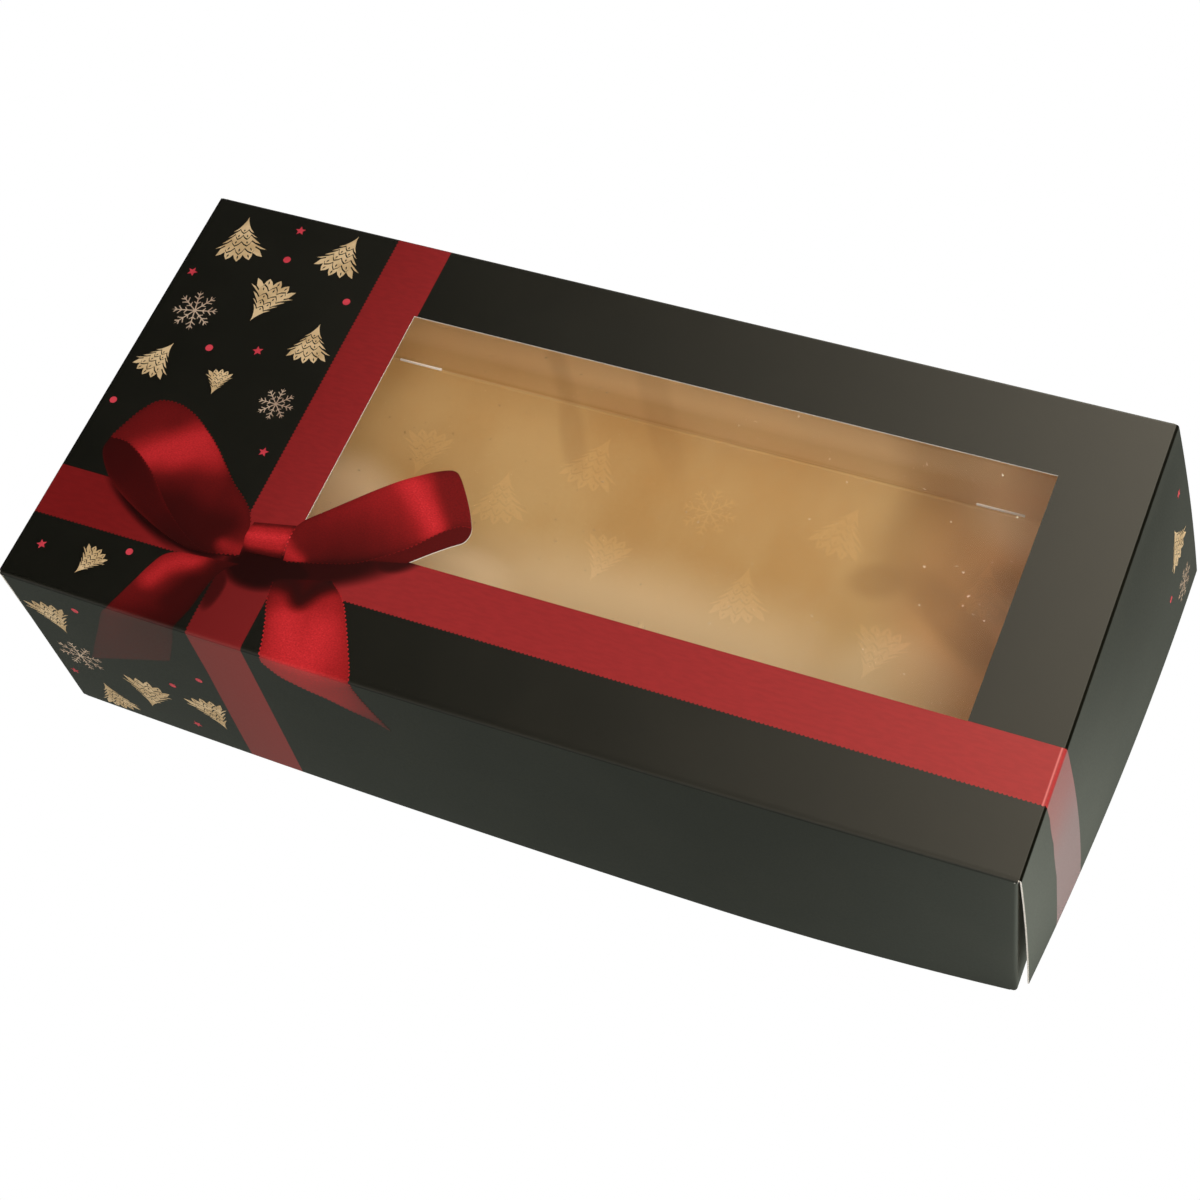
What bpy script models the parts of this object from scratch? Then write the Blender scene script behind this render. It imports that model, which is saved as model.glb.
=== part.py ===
"""Stollen box: a folded carton with a hinged window lid, one object for each panel and fold.

Metres, +Z up, +X along the box and +Y towards the far side, where the lid tucks in. The origin is the
centre of the base's underside. The carton is one creased blank of board with a clear film under the
window. Each panel between two creases is a flat outline as thick as the board, or a sheet where the
board is bent, and each crease is a round fold of the same thickness, centred on the line where the two
panels' middle planes meet.
"""

from functools import partial
from math import asin, atan2, cos, hypot, pi, radians, sin

import bmesh
import bpy
from mathutils import Matrix, Vector
from mathutils.geometry import interpolate_bezier

MM = 0.001

# Overall sizes
BOX_LENGTH = 330.0 * MM
BOX_HEIGHT = 80.0 * MM
LID_DEPTH = 157.0 * MM
BASE_SPREAD = 5.5 * MM

# Stock and clearances
BOARD = 0.5 * MM
FILM = 0.2 * MM
CLEARANCE = 0.3 * MM
LID_CLEARANCE = 1.0 * MM

# Near wall, whose foot bulges outwards, most of all at a share of the box's length from the left
FRONT_BULGE = 4.3 * MM
FRONT_BULGE_SHARE = 0.7
FRONT_BULGE_STEPS = 16

# Far wall, rolled over double, with tongues that lock into the base
RIM_DROP = 4.0 * MM
TUCK_CLEARANCE = 0.4 * MM
TONGUE_WIDTH = 16.0 * MM
TONGUE_OFFSET = 107.5 * MM
TONGUE_END = 0.1 * MM

# Corner ears
FRONT_EAR_LENGTH = 60.0 * MM
BACK_EAR_LENGTH = 45.0 * MM
EAR_TAPER = 3.0 * MM

# Window in the lid, measured from the lid's edges, and the film under it
WINDOW_LEFT_BORDER = 87.0 * MM
WINDOW_RIGHT_BORDER = 28.6 * MM
WINDOW_BACK_BORDER = 28.0 * MM
WINDOW_FRONT_BORDER = 42.5 * MM
FILM_LAP = 8.0 * MM

# Bow loop that stands into the window, measured from the window's front left corner. Each knot of its
# edge is a share of the loop's width, a share of its height and the edge's direction in degrees.
LOOP_WIDTH = 53.0 * MM
LOOP_HEIGHT = 34.6 * MM
LOOP_KNOT_SHARES = (
    (0.0, 0.125, 42.0),
    (0.69, 1.0, 22.0),
    (0.785, 0.93, -50.0),
    (0.975, 0.5, -63.0),
    (0.955, 0.31, -145.0),
    (0.72, 0.0, -136.0),
)
LOOP_HANDLE_SHARE = 0.33
LOOP_STEPS = 7

# Flaps of the lid. Each end flap springs outwards by one angle at its near edge and more at its far
# edge, and is hollow towards the box, most of all near its near edge.
END_FLAP_FOOT_GAP = 1.75 * MM
END_FLAP_SETBACK = 2.6 * MM
LEFT_FLAP_LEANS = (radians(1.0), radians(3.0))
RIGHT_FLAP_LEANS = (radians(1.5), radians(8.0))
END_FLAP_BEND_SHARES = (1.0, 0.25)
END_FLAP_STEPS = (12, 6)
TUCK_FLAP_LENGTH = 22.0 * MM
TUCK_FLAP_END_GAP = 3.0 * MM
TUCK_FLAP_TAPER = 10.0 * MM

# Worked out from the sizes above
HALF_BOARD = BOARD / 2
FOLD_REACH = HALF_BOARD + CLEARANCE
LAYER = BOARD + CLEARANCE
RIM_WIDTH = 2 * LAYER + BOARD

BASE_DEPTH = LID_DEPTH + BASE_SPREAD
FRONT_Y = -BASE_DEPTH / 2 + HALF_BOARD
BACK_Y = BASE_DEPTH / 2 - HALF_BOARD
FLOOR_Z = HALF_BOARD
TOP_Z = BOX_HEIGHT - HALF_BOARD
BACK_WALL_RISE = TOP_Z - FLOOR_Z - RIM_DROP
END_FLAP_LENGTH = TOP_Z - END_FLAP_FOOT_GAP
FLAP_X = BOX_LENGTH / 2 - HALF_BOARD
EAR_X = FLAP_X - LAYER
END_X = EAR_X - LAYER
LID_REACH = LID_DEPTH - BOARD

PRINTED = {"colour": (0.012, 0.012, 0.010, 1.0), "roughness": 0.32, "metallic": 0.0}
GOLD = {"colour": (0.45, 0.26, 0.10, 1.0), "roughness": 0.38, "metallic": 0.35}
CLEAR = {"colour": (0.95, 0.95, 0.95, 1.0), "roughness": 0.05, "metallic": 0.0}


def back_wall_lean():
    """Angle by which the far wall leans inwards, so that its inner face ends just beyond the lid."""
    inner_face = RIM_WIDTH - HALF_BOARD
    run = BASE_SPREAD - HALF_BOARD - TUCK_CLEARANCE
    return asin(run / hypot(BACK_WALL_RISE, inner_face)) - atan2(inner_face, BACK_WALL_RISE)


def tuck_flap_lean():
    """Least lean that keeps the tuck flap's free edge inside the lid's own reach as the lid turns."""
    return asin((TUCK_FLAP_LENGTH + BOARD) / (2 * LID_REACH))


def fresh_collection(name):
    """Remove the scene's objects and return an empty collection of this name."""
    for old in list(bpy.data.objects):
        bpy.data.objects.remove(old, do_unlink=True)
    collection = bpy.data.collections.new(name)
    bpy.context.scene.collection.children.link(collection)
    return collection


BOX = fresh_collection("stollen_box")


def material(name, finish):
    """A Principled material of the piece's own, from one of the finishes above."""
    made = bpy.data.materials.new(name)
    made.use_nodes = True
    shader = made.node_tree.nodes["Principled BSDF"]
    shader.inputs["Base Color"].default_value = finish["colour"]
    shader.inputs["Roughness"].default_value = finish["roughness"]
    shader.inputs["Metallic"].default_value = finish["metallic"]
    return made


def pivot(name, location, parent=None, turn=(0.0, 0.0, 0.0)):
    """An empty on a fold's axis, which carries the panels beyond that fold."""
    empty = bpy.data.objects.new(name, None)
    empty.parent = parent
    empty.location = location
    empty.rotation_euler = turn
    BOX.objects.link(empty)
    return empty


def placement(origin, across, away):
    """Matrix whose local X runs across a panel and whose local Y runs away from the panel's fold."""
    across, away = Vector(across), Vector(away)
    return Matrix.Translation(origin) @ Matrix((across, away, across.cross(away))).transposed().to_4x4()


def panel(name, finish, outlines, place, parent=None, thickness=BOARD):
    """A flat panel: a filled 2D outline, with any holes, extruded to the board's thickness."""
    curve = bpy.data.curves.new(name, "CURVE")
    curve.dimensions = "2D"
    curve.fill_mode = "BOTH"
    curve.extrude = thickness / 2
    for points in outlines:
        spline = curve.splines.new("POLY")
        spline.points.add(len(points) - 1)
        for target, (x, y) in zip(spline.points, points):
            target.co = (x, y, 0.0, 1.0)
        spline.use_cyclic_u = True
    curve.materials.append(material(name, finish))
    made = bpy.data.objects.new(name, curve)
    made.parent = parent
    made.matrix_basis = place
    BOX.objects.link(made)
    return made


def sheet(name, finish, steps, shape, parent=None):
    """A bent panel: a grid whose points are placed by shape(across, away), both from 0 to 1."""
    grid = bmesh.new()
    bmesh.ops.create_grid(grid, x_segments=steps[0], y_segments=steps[1], size=0.5)
    for vertex in grid.verts:
        vertex.co = shape(vertex.co.x + 0.5, vertex.co.y + 0.5)
    mesh = bpy.data.meshes.new(name)
    grid.to_mesh(mesh)
    grid.free()
    mesh.materials.append(material(name, finish))
    made = bpy.data.objects.new(name, mesh)
    made.parent = parent
    BOX.objects.link(made)
    wall = made.modifiers.new("board", "SOLIDIFY")
    wall.thickness = BOARD
    wall.offset = 0.0
    return made


def fold(name, finish, points, parent=None):
    """A crease between two panels, as a round fold as thick as the board along these points."""
    curve = bpy.data.curves.new(name, "CURVE")
    curve.dimensions = "3D"
    curve.bevel_depth = HALF_BOARD
    curve.bevel_resolution = 2
    curve.use_fill_caps = True
    spline = curve.splines.new("POLY")
    spline.points.add(len(points) - 1)
    for target, point in zip(spline.points, points):
        target.co = (*point, 1.0)
    curve.materials.append(material(name, finish))
    made = bpy.data.objects.new(name, curve)
    made.parent = parent
    BOX.objects.link(made)
    return made


def rectangle(left, right, near, far):
    """The four corners of a rectangle, anticlockwise."""
    return [(left, near), (right, near), (right, far), (left, far)]


def tongue_spans(side_gap):
    """Start and end along the box of the two lock tongues, each widened by a gap at both sides."""
    half = TONGUE_WIDTH / 2 + side_gap
    return [(middle - half, middle + half) for middle in (-TONGUE_OFFSET, TONGUE_OFFSET)]


def front_bulge(x):
    """How far the near wall's foot stands out at this place along the box, as two half parabolas."""
    share = (x + EAR_X) / (2 * EAR_X)
    reach = FRONT_BULGE_SHARE if share < FRONT_BULGE_SHARE else 1 - FRONT_BULGE_SHARE
    return FRONT_BULGE * (1 - ((share - FRONT_BULGE_SHARE) / reach) ** 2)


def front_foot(half_length):
    """Points along the line where the near wall's middle plane meets the base's, from left to right."""
    places = [half_length * (2 * i / FRONT_BULGE_STEPS - 1) for i in range(FRONT_BULGE_STEPS + 1)]
    return [(x, FRONT_Y - front_bulge(x)) for x in places]


def base_outline():
    """The base, with a notch at its far fold for each lock tongue of the far wall."""
    half_length = END_X - FOLD_REACH
    far = BACK_Y - FOLD_REACH
    tongue_y = BACK_Y - (RIM_WIDTH - BOARD) * cos(back_wall_lean())
    notch_y = tongue_y - FOLD_REACH
    points = [(x, y + FOLD_REACH) for x, y in front_foot(half_length)]
    points.append((half_length, far))
    for start, end in reversed(tongue_spans(CLEARANCE)):
        points += [(end, far), (end, notch_y), (start, notch_y), (start, far)]
    points.append((-half_length, far))
    return points


def inner_wall_outline():
    """The far wall's inner panel, from just above the base to the rim, with its two lock tongues."""
    lean = back_wall_lean()
    sink = (RIM_WIDTH - BOARD) * sin(lean)
    foot = (HALF_BOARD + CLEARANCE + sink + HALF_BOARD * sin(lean)) / cos(lean)
    tongue_foot = (TONGUE_END - FLOOR_Z + sink) / cos(lean)
    half_length = END_X - FOLD_REACH
    top = BACK_WALL_RISE - FOLD_REACH
    points = [(-half_length, foot)]
    for start, end in tongue_spans(0.0):
        points += [(start, foot), (start, tongue_foot), (end, tongue_foot), (end, foot)]
    return points + [(half_length, foot), (half_length, top), (-half_length, top)]


def ear_outline(bottom, top, length):
    """A corner ear: across the ear from bottom to top, and away from its fold, narrowing to its end."""
    return [
        (bottom, FOLD_REACH),
        (top, FOLD_REACH),
        (top - EAR_TAPER, length),
        (bottom + EAR_TAPER, length),
    ]


def end_wall_outline():
    """An end wall: its front edge is upright and its far edge follows the far wall's lean."""
    lean = back_wall_lean()
    bottom = FLOOR_Z + FOLD_REACH
    top = BOX_HEIGHT - BOARD - LID_CLEARANCE
    near = FRONT_Y + FOLD_REACH

    def far(z):
        ear_line = BACK_Y - LAYER / cos(lean) - (z - FLOOR_Z) * sin(lean) / cos(lean)
        return ear_line - FOLD_REACH / cos(lean)

    return [(near, bottom), (far(bottom), bottom), (far(top), top), (near, top)]


def stadium(width, thickness, steps=8):
    """A flat bar's section with full round edges, from its outer edge at 0 to its width."""
    radius = thickness / 2
    points = []
    for centre, first in ((width - radius, -pi / 2), (radius, pi / 2)):
        for i in range(steps + 1):
            angle = first + pi * i / steps
            points.append((centre + radius * cos(angle), radius * sin(angle)))
    return points


def bow_loop():
    """Edge of the printed bow loop that stands into the window, from the left edge to the front edge."""
    knots = [
        (Vector((LOOP_WIDTH * across, LOOP_HEIGHT * up)), radians(turn))
        for across, up, turn in LOOP_KNOT_SHARES
    ]
    points = []
    for (start, start_turn), (end, end_turn) in zip(knots, knots[1:]):
        handle = (end - start).length * LOOP_HANDLE_SHARE
        out = start + handle * Vector((cos(start_turn), sin(start_turn)))
        back = end - handle * Vector((cos(end_turn), sin(end_turn)))
        arc = interpolate_bezier(start, out, back, end, LOOP_STEPS)
        points += [(point.x, point.y) for point in arc[1 if points else 0:]]
    return points


def window_edges():
    """The window's left, right, front and back edges in the lid's frame, which starts at its hinge."""
    left = -BOX_LENGTH / 2 + WINDOW_LEFT_BORDER
    right = BOX_LENGTH / 2 - WINDOW_RIGHT_BORDER
    front = WINDOW_FRONT_BORDER - HALF_BOARD
    back = LID_DEPTH - WINDOW_BACK_BORDER - HALF_BOARD
    return left, right, front, back


def window_outline():
    """The window: a rectangle whose front left corner is filled by the bow loop."""
    left, right, front, back = window_edges()
    loop = [(left + x, front + y) for x, y in bow_loop()]
    return loop + [(right, front), (right, back), (left, back)]


def front_wall_place(across, away):
    """A point of the near wall's middle plane, straight along the lid's fold and bulged at its foot."""
    half_length = EAR_X - FOLD_REACH
    bottom, top = FLOOR_Z + FOLD_REACH, TOP_Z - FOLD_REACH
    x = half_length * (2 * across - 1)
    z = bottom + (top - bottom) * away
    drop_share = (TOP_Z - z) / (TOP_Z - FLOOR_Z)
    return Vector((x, FRONT_Y - front_bulge(x) * drop_share, z))


def end_flap_place(across, away, side, leans):
    """A point of an end flap's middle plane, from its fold's axis, with its near edge cut back."""
    drop = FOLD_REACH + (END_FLAP_LENGTH - FOLD_REACH) * away
    drop_share = drop / END_FLAP_LENGTH
    near = FOLD_REACH + END_FLAP_SETBACK * away
    far = LID_REACH - FOLD_REACH
    lean = leans[0] + (leans[1] - leans[0]) * (1 - (1 - across) ** 2)
    bend_share = END_FLAP_BEND_SHARES[0] + (END_FLAP_BEND_SHARES[1] - END_FLAP_BEND_SHARES[0]) * across
    out = drop * sin(lean) * (1 + bend_share * (1 - drop_share))
    return Vector((side * out, near + (far - near) * across, -drop * cos(lean)))


def tuck_flap_outline():
    """The tuck flap, whose ends slant in towards its free edge."""
    half = END_X - HALF_BOARD - TUCK_FLAP_END_GAP
    free_half = half - TUCK_FLAP_TAPER
    return [
        (-half, FOLD_REACH),
        (half, FOLD_REACH),
        (free_half, TUCK_FLAP_LENGTH),
        (-free_half, TUCK_FLAP_LENGTH),
    ]


def build_base():
    """The base and its four folds."""
    half_length = END_X - FOLD_REACH
    near, far = FRONT_Y + FOLD_REACH, BACK_Y - FOLD_REACH
    flat = placement((0.0, 0.0, FLOOR_Z), (1, 0, 0), (0, 1, 0))
    panel("base_panel", GOLD, [base_outline()], flat)
    foot = [(x, y, FLOOR_Z) for x, y in front_foot(half_length)]
    fold("base_front_fold", PRINTED, foot)
    fold("base_back_fold", PRINTED, [(-half_length, BACK_Y, FLOOR_Z), (half_length, BACK_Y, FLOOR_Z)])
    for name, x in (("left", -END_X), ("right", END_X)):
        fold(f"base_{name}_fold", PRINTED, [(x, near, FLOOR_Z), (x, far, FLOOR_Z)])


def build_front_wall():
    """The near wall, which carries the lid, and the ears folded back from its two ends."""
    sheet("front_wall", PRINTED, (FRONT_BULGE_STEPS, 1), front_wall_place)
    bottom = FLOOR_Z + FOLD_REACH
    ear_top = BOX_HEIGHT - BOARD - LID_CLEARANCE
    for name, x in (("left", -EAR_X), ("right", EAR_X)):
        fold(f"front_{name}_ear_fold", PRINTED, [(x, FRONT_Y, bottom), (x, FRONT_Y, ear_top)])
        beside = placement((x, FRONT_Y, 0.0), (0, 0, 1), (0, 1, 0))
        panel(f"front_{name}_ear", PRINTED, [ear_outline(bottom, ear_top, FRONT_EAR_LENGTH)], beside)


def build_end_walls():
    """The two end walls, inside the front ears."""
    for name, x in (("left", -END_X), ("right", END_X)):
        across_end = placement((x, 0.0, 0.0), (0, 1, 0), (0, 0, 1))
        panel(f"{name}_end_wall", GOLD, [end_wall_outline()], across_end)


def build_back_wall():
    """The far wall: outer panel, rolled rim and inner panel, with the end walls' ears held between."""
    lean = back_wall_lean()
    frame = pivot("back_wall_frame", (0.0, BACK_Y, FLOOR_Z), turn=(lean, 0.0, 0.0))
    top = BACK_WALL_RISE - FOLD_REACH
    outer_half = END_X + HALF_BOARD
    inner_half = END_X - FOLD_REACH
    across, up = (1, 0, 0), (0, 0, 1)
    outer = rectangle(-outer_half, outer_half, FOLD_REACH, top)
    panel("back_outer_wall", PRINTED, [outer], placement((0.0, 0.0, 0.0), across, up), frame)
    inner_place = placement((0.0, BOARD - RIM_WIDTH, 0.0), across, up)
    panel("back_inner_wall", GOLD, [inner_wall_outline()], inner_place, frame)
    rim_place = placement((0.0, HALF_BOARD, BACK_WALL_RISE), (0, -1, 0), up)
    rim_section = stadium(RIM_WIDTH, BOARD)
    panel("back_rim_fold", PRINTED, [rim_section], rim_place, frame, thickness=2 * inner_half)
    ear_bottom = FOLD_REACH + LAYER * sin(lean)
    ear_top = top - FOLD_REACH
    for name, side in (("left", -1), ("right", 1)):
        x = side * END_X
        fold(f"back_{name}_ear_fold", GOLD, [(x, -LAYER, ear_bottom), (x, -LAYER, ear_top)], frame)
        ear_place = placement((x, -LAYER, 0.0), up, (-side, 0, 0))
        panel(f"back_{name}_ear", GOLD, [ear_outline(ear_bottom, ear_top, BACK_EAR_LENGTH)], ear_place, frame)


def build_lid():
    """The lid panel with its window, the film glued under it, and the lid's folds."""
    hinge = pivot("lid_pivot", (0.0, FRONT_Y, TOP_Z))
    half_length = FLAP_X - FOLD_REACH
    near, far = FOLD_REACH, LID_REACH - FOLD_REACH
    flat = placement((0.0, 0.0, 0.0), (1, 0, 0), (0, 1, 0))
    lid = [rectangle(-half_length, half_length, near, far), window_outline()]
    panel("lid_panel", PRINTED, lid, flat, hinge)
    left, right, front, back = window_edges()
    film = rectangle(left - FILM_LAP, right + FILM_LAP, front - FILM_LAP, back + FILM_LAP)
    film_z = -HALF_BOARD - CLEARANCE - FILM / 2
    under = placement((0.0, 0.0, film_z), (1, 0, 0), (0, 1, 0))
    panel("window_film", CLEAR, [film], under, hinge, thickness=FILM)
    for name, y in (("lid_hinge_fold", 0.0), ("tuck_flap_fold", LID_REACH)):
        fold(name, PRINTED, [(-half_length, y, 0.0), (half_length, y, 0.0)], hinge)
    for name, x in (("left", -FLAP_X), ("right", FLAP_X)):
        fold(f"{name}_flap_fold", PRINTED, [(x, near, 0.0), (x, far, 0.0)], hinge)
    return hinge


def build_flaps(hinge):
    """The lid's two end flaps and its tuck flap, each below a pivot on its own fold.

    The tuck flap folds in under the lid, so it turns where the two panels' inner faces meet.
    """
    for name, side, leans in (("left", -1, LEFT_FLAP_LEANS), ("right", 1, RIGHT_FLAP_LEANS)):
        flap_pivot = pivot(f"{name}_flap_pivot", (side * FLAP_X, 0.0, 0.0), hinge)
        hang = partial(end_flap_place, side=side, leans=leans)
        sheet(f"{name}_end_flap", PRINTED, END_FLAP_STEPS, hang, flap_pivot)
    inner_corner = (0.0, LID_REACH - HALF_BOARD, -HALF_BOARD)
    tuck_pivot = pivot("tuck_flap_pivot", inner_corner, hinge, (-tuck_flap_lean(), 0.0, 0.0))
    tucked = placement((0.0, HALF_BOARD, HALF_BOARD), (1, 0, 0), (0, 0, -1))
    panel("tuck_flap", PRINTED, [tuck_flap_outline()], tucked, tuck_pivot)


def main():
    """Build the carton, from the base upwards."""
    build_base()
    build_front_wall()
    build_end_walls()
    build_back_wall()
    build_flaps(build_lid())


main()
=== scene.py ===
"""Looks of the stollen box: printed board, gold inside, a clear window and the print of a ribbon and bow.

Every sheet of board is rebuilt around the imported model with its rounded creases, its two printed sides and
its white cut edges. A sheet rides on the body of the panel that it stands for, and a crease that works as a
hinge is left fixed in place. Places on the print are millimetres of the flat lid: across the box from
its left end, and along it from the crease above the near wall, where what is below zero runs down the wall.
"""

from __future__ import annotations

import logging
import math
from collections.abc import Callable, Sequence
from dataclasses import dataclass
from enum import Enum

import bmesh
import bpy
from mathutils import Matrix, Vector
from mathutils.geometry import intersect_point_line


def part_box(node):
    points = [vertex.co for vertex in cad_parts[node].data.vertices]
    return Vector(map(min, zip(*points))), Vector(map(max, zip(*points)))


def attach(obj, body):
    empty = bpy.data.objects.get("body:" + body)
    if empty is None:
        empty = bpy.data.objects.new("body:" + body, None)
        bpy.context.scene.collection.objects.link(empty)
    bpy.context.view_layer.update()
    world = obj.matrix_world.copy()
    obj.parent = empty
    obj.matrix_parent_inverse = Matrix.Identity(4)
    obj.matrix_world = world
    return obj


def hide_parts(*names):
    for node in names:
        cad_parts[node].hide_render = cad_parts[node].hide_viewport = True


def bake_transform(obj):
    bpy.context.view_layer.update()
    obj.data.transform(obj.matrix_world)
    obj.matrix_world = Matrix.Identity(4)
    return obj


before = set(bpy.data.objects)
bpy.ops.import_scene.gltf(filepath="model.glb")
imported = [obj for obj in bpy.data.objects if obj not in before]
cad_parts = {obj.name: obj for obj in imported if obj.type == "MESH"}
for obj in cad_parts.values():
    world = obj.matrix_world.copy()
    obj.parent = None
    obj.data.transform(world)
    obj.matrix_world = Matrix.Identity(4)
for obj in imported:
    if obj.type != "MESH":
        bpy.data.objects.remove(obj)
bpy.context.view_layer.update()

MM = 0.001
LOG = logging.getLogger("stollen_box")

Flat = tuple[float, float]
Triple = tuple[float, float, float]
Line = tuple[Flat, ...]
Place = Callable[[float, float], Vector]
Section = Callable[[float], Sequence[Sequence[float]]]


class Body(Enum):
    """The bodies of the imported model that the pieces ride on."""

    TRAY = "tray"
    LID = "lid"
    TUCK = "tuck_flap"
    LEFT = "left_end_flap"
    RIGHT = "right_end_flap"


class Slot(Enum):
    """Material slots that new pieces are passed with; nothing reads them."""

    PRINTED = "printed_board"
    GOLD = "gold_board"


class Side(Enum):
    """The two ends of the box, as signs along its length."""

    LEFT = -1
    RIGHT = 1


# Shader sums


def _operation(name: str, swapped: bool = False) -> Callable[..., Term]:
    """Make a method of Term that adds a Math node.

    Args:
        name: The node's operation.
        swapped: Whether the other term comes first.

    Returns:
        The method.
    """

    def method(self: Term, *others: Term | float) -> Term:
        """Add the Math node."""
        terms = (*others, self) if swapped else (self, *others)
        return self.shade.term("ShaderNodeMath", {"operation": name}, dict(enumerate(terms)))

    return method


class Term:
    """A shader socket that takes part in sums like a number."""

    def __init__(self, shade: Shade, socket: bpy.types.NodeSocket) -> None:
        """Wrap an output socket of a tree."""
        self.shade = shade
        self.socket = socket

    __add__ = __radd__ = _operation("ADD")
    __sub__ = _operation("SUBTRACT")
    __rsub__ = _operation("SUBTRACT", swapped=True)
    __mul__ = __rmul__ = _operation("MULTIPLY")
    __truediv__ = _operation("DIVIDE")
    __pow__ = _operation("POWER")
    __abs__ = _operation("ABSOLUTE")
    most = _operation("MAXIMUM")
    least = _operation("MINIMUM")
    sine = _operation("SINE")
    root = _operation("SQRT")

    def rise(self, low: float, high: float, start: float = 0.0, end: float = 1.0) -> Term:
        """Smooth step.

        Args:
            low: Value at which the step starts.
            high: Value at which it ends.
            start: Result below low.
            end: Result above high.

        Returns:
            The stepped term.
        """
        sockets = {0: self, 1: low, 2: high, 3: start, 4: end}
        return self.shade.term("ShaderNodeMapRange", {"interpolation_type": "SMOOTHSTEP"}, sockets)

    def band(self, low: float | Term, high: float | Term, soft: float) -> Term:
        """A mask that is 1 between low and high, with edges as soft as given."""
        return (self - low).rise(-soft, soft) * (high - self).rise(-soft, soft)


class Shade:
    """The node tree of a material or of the world, built by expressions."""

    def __init__(self, name: str, world: bool = False) -> None:
        """Start an empty tree in a new material, or in a new world.

        Args:
            name: The owner's name.
            world: Whether the owner is a world.
        """
        self.owner = (bpy.data.worlds if world else bpy.data.materials).new(name)
        self.owner.use_nodes = True
        self.tree = self.owner.node_tree
        self.tree.nodes.clear()

    def node(self, kind: str, settings: dict | None = None, sockets: dict | None = None) -> bpy.types.Node:
        """Add a node.

        Args:
            kind: The node's type.
            settings: Its own settings, set first; stops are a ramp's places and colours.
            sockets: A value or a link for each input, by name or number.

        Returns:
            The node.
        """
        made = self.tree.nodes.new(kind)
        for key, value in (settings or {}).items():
            if key == "stops":
                while len(made.color_ramp.elements) < len(value):
                    made.color_ramp.elements.new(0.5)
                for element, (place, colour) in zip(made.color_ramp.elements, value):
                    element.position = place
                    element.color = (*colour, 1.0)
            else:
                setattr(made, key, value)
        for key, value in (sockets or {}).items():
            if isinstance(value, Term):
                self.tree.links.new(value.socket, made.inputs[key])
            else:
                made.inputs[key].default_value = value
        return made

    def term(
        self, kind: str, settings: dict | None = None, sockets: dict | None = None, out: int | str = 0
    ) -> Term:
        """Add a node and wrap one of its outputs."""
        return Term(self, self.node(kind, settings, sockets).outputs[out])

    def here(self) -> Term:
        """Object coordinates, in metres."""
        return self.term("ShaderNodeTexCoord", out="Object")

    def place(self) -> tuple[Term, Term, Term]:
        """Object coordinates in millimetres, along the three axes."""
        split = self.node("ShaderNodeSeparateXYZ", sockets={0: self.here()})
        return tuple(Term(self, split.outputs[i]) * (1 / MM) for i in range(3))

    def noise(self, scale: float, detail: float = 2.0, stretch: Triple = (1.0, 1.0, 1.0)) -> Term:
        """Noise over Object coordinates.

        Args:
            scale: Cells in a metre.
            detail: Octaves.
            stretch: Scale along each axis.

        Returns:
            The noise, about 0.5 on the average.
        """
        spread = self.term("ShaderNodeMapping", sockets={"Vector": self.here(), "Scale": stretch})
        return self.term("ShaderNodeTexNoise", sockets={"Vector": spread, "Scale": scale, "Detail": detail})

    def mix(self, factor: Term | float, first: Term | Triple, second: Term | Triple) -> Term:
        """Mix two colours, from the first at 0 to the second at 1."""
        colours = [value if isinstance(value, Term) else (*value, 1.0) for value in (first, second)]
        return self.term("ShaderNodeMix", {"data_type": "RGBA"}, {0: factor, 6: colours[0], 7: colours[1]}, 2)

    def bump(self, height: Term, depth: float) -> Term:
        """A normal from a height of 0 to 1, as deep as given in millimetres."""
        return self.term("ShaderNodeBump", sockets={"Strength": 1.0, "Distance": depth * MM, "Height": height})

    def finish(self, **sockets: Term | float | Triple) -> bpy.types.Material:
        """End the tree with a Principled shader.

        Args:
            **sockets: Values or links, by socket name with _ for a space.

        Returns:
            The material.
        """
        named = {
            key.replace("_", " "): (*value, 1.0) if isinstance(value, tuple) else value
            for key, value in sockets.items()
        }
        shader = self.term("ShaderNodeBsdfPrincipled", sockets=named)
        self.node("ShaderNodeOutputMaterial", sockets={0: shader})
        return self.owner


# Finishes


@dataclass(frozen=True)
class Blot:
    """A soft oval: printed shade on the ribbon, painted light or painted shade on the gold, or a bright spot on
    a card; its middle, its heading and its two reaches, in millimetres.
    """

    middle: Flat
    heading: float
    reach: Flat
    strength: float = 1.0

    def mask(self, across: Term, along: Term) -> Term:
        """The oval's strength at a place, fading to 0 at its rim.

        Args:
            across: Millimetres across the print.
            along: Millimetres along it.

        Returns:
            The strength.
        """
        cosine, sine = math.cos(math.radians(self.heading)), math.sin(math.radians(self.heading))
        right, up = across - self.middle[0], along - self.middle[1]
        length = (right * cosine + up * sine) / self.reach[0]
        width = (up * cosine - right * sine) / self.reach[1]
        return (length * length + width * width).root().rise(0.4, 1.0, self.strength, 0.0)


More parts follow.
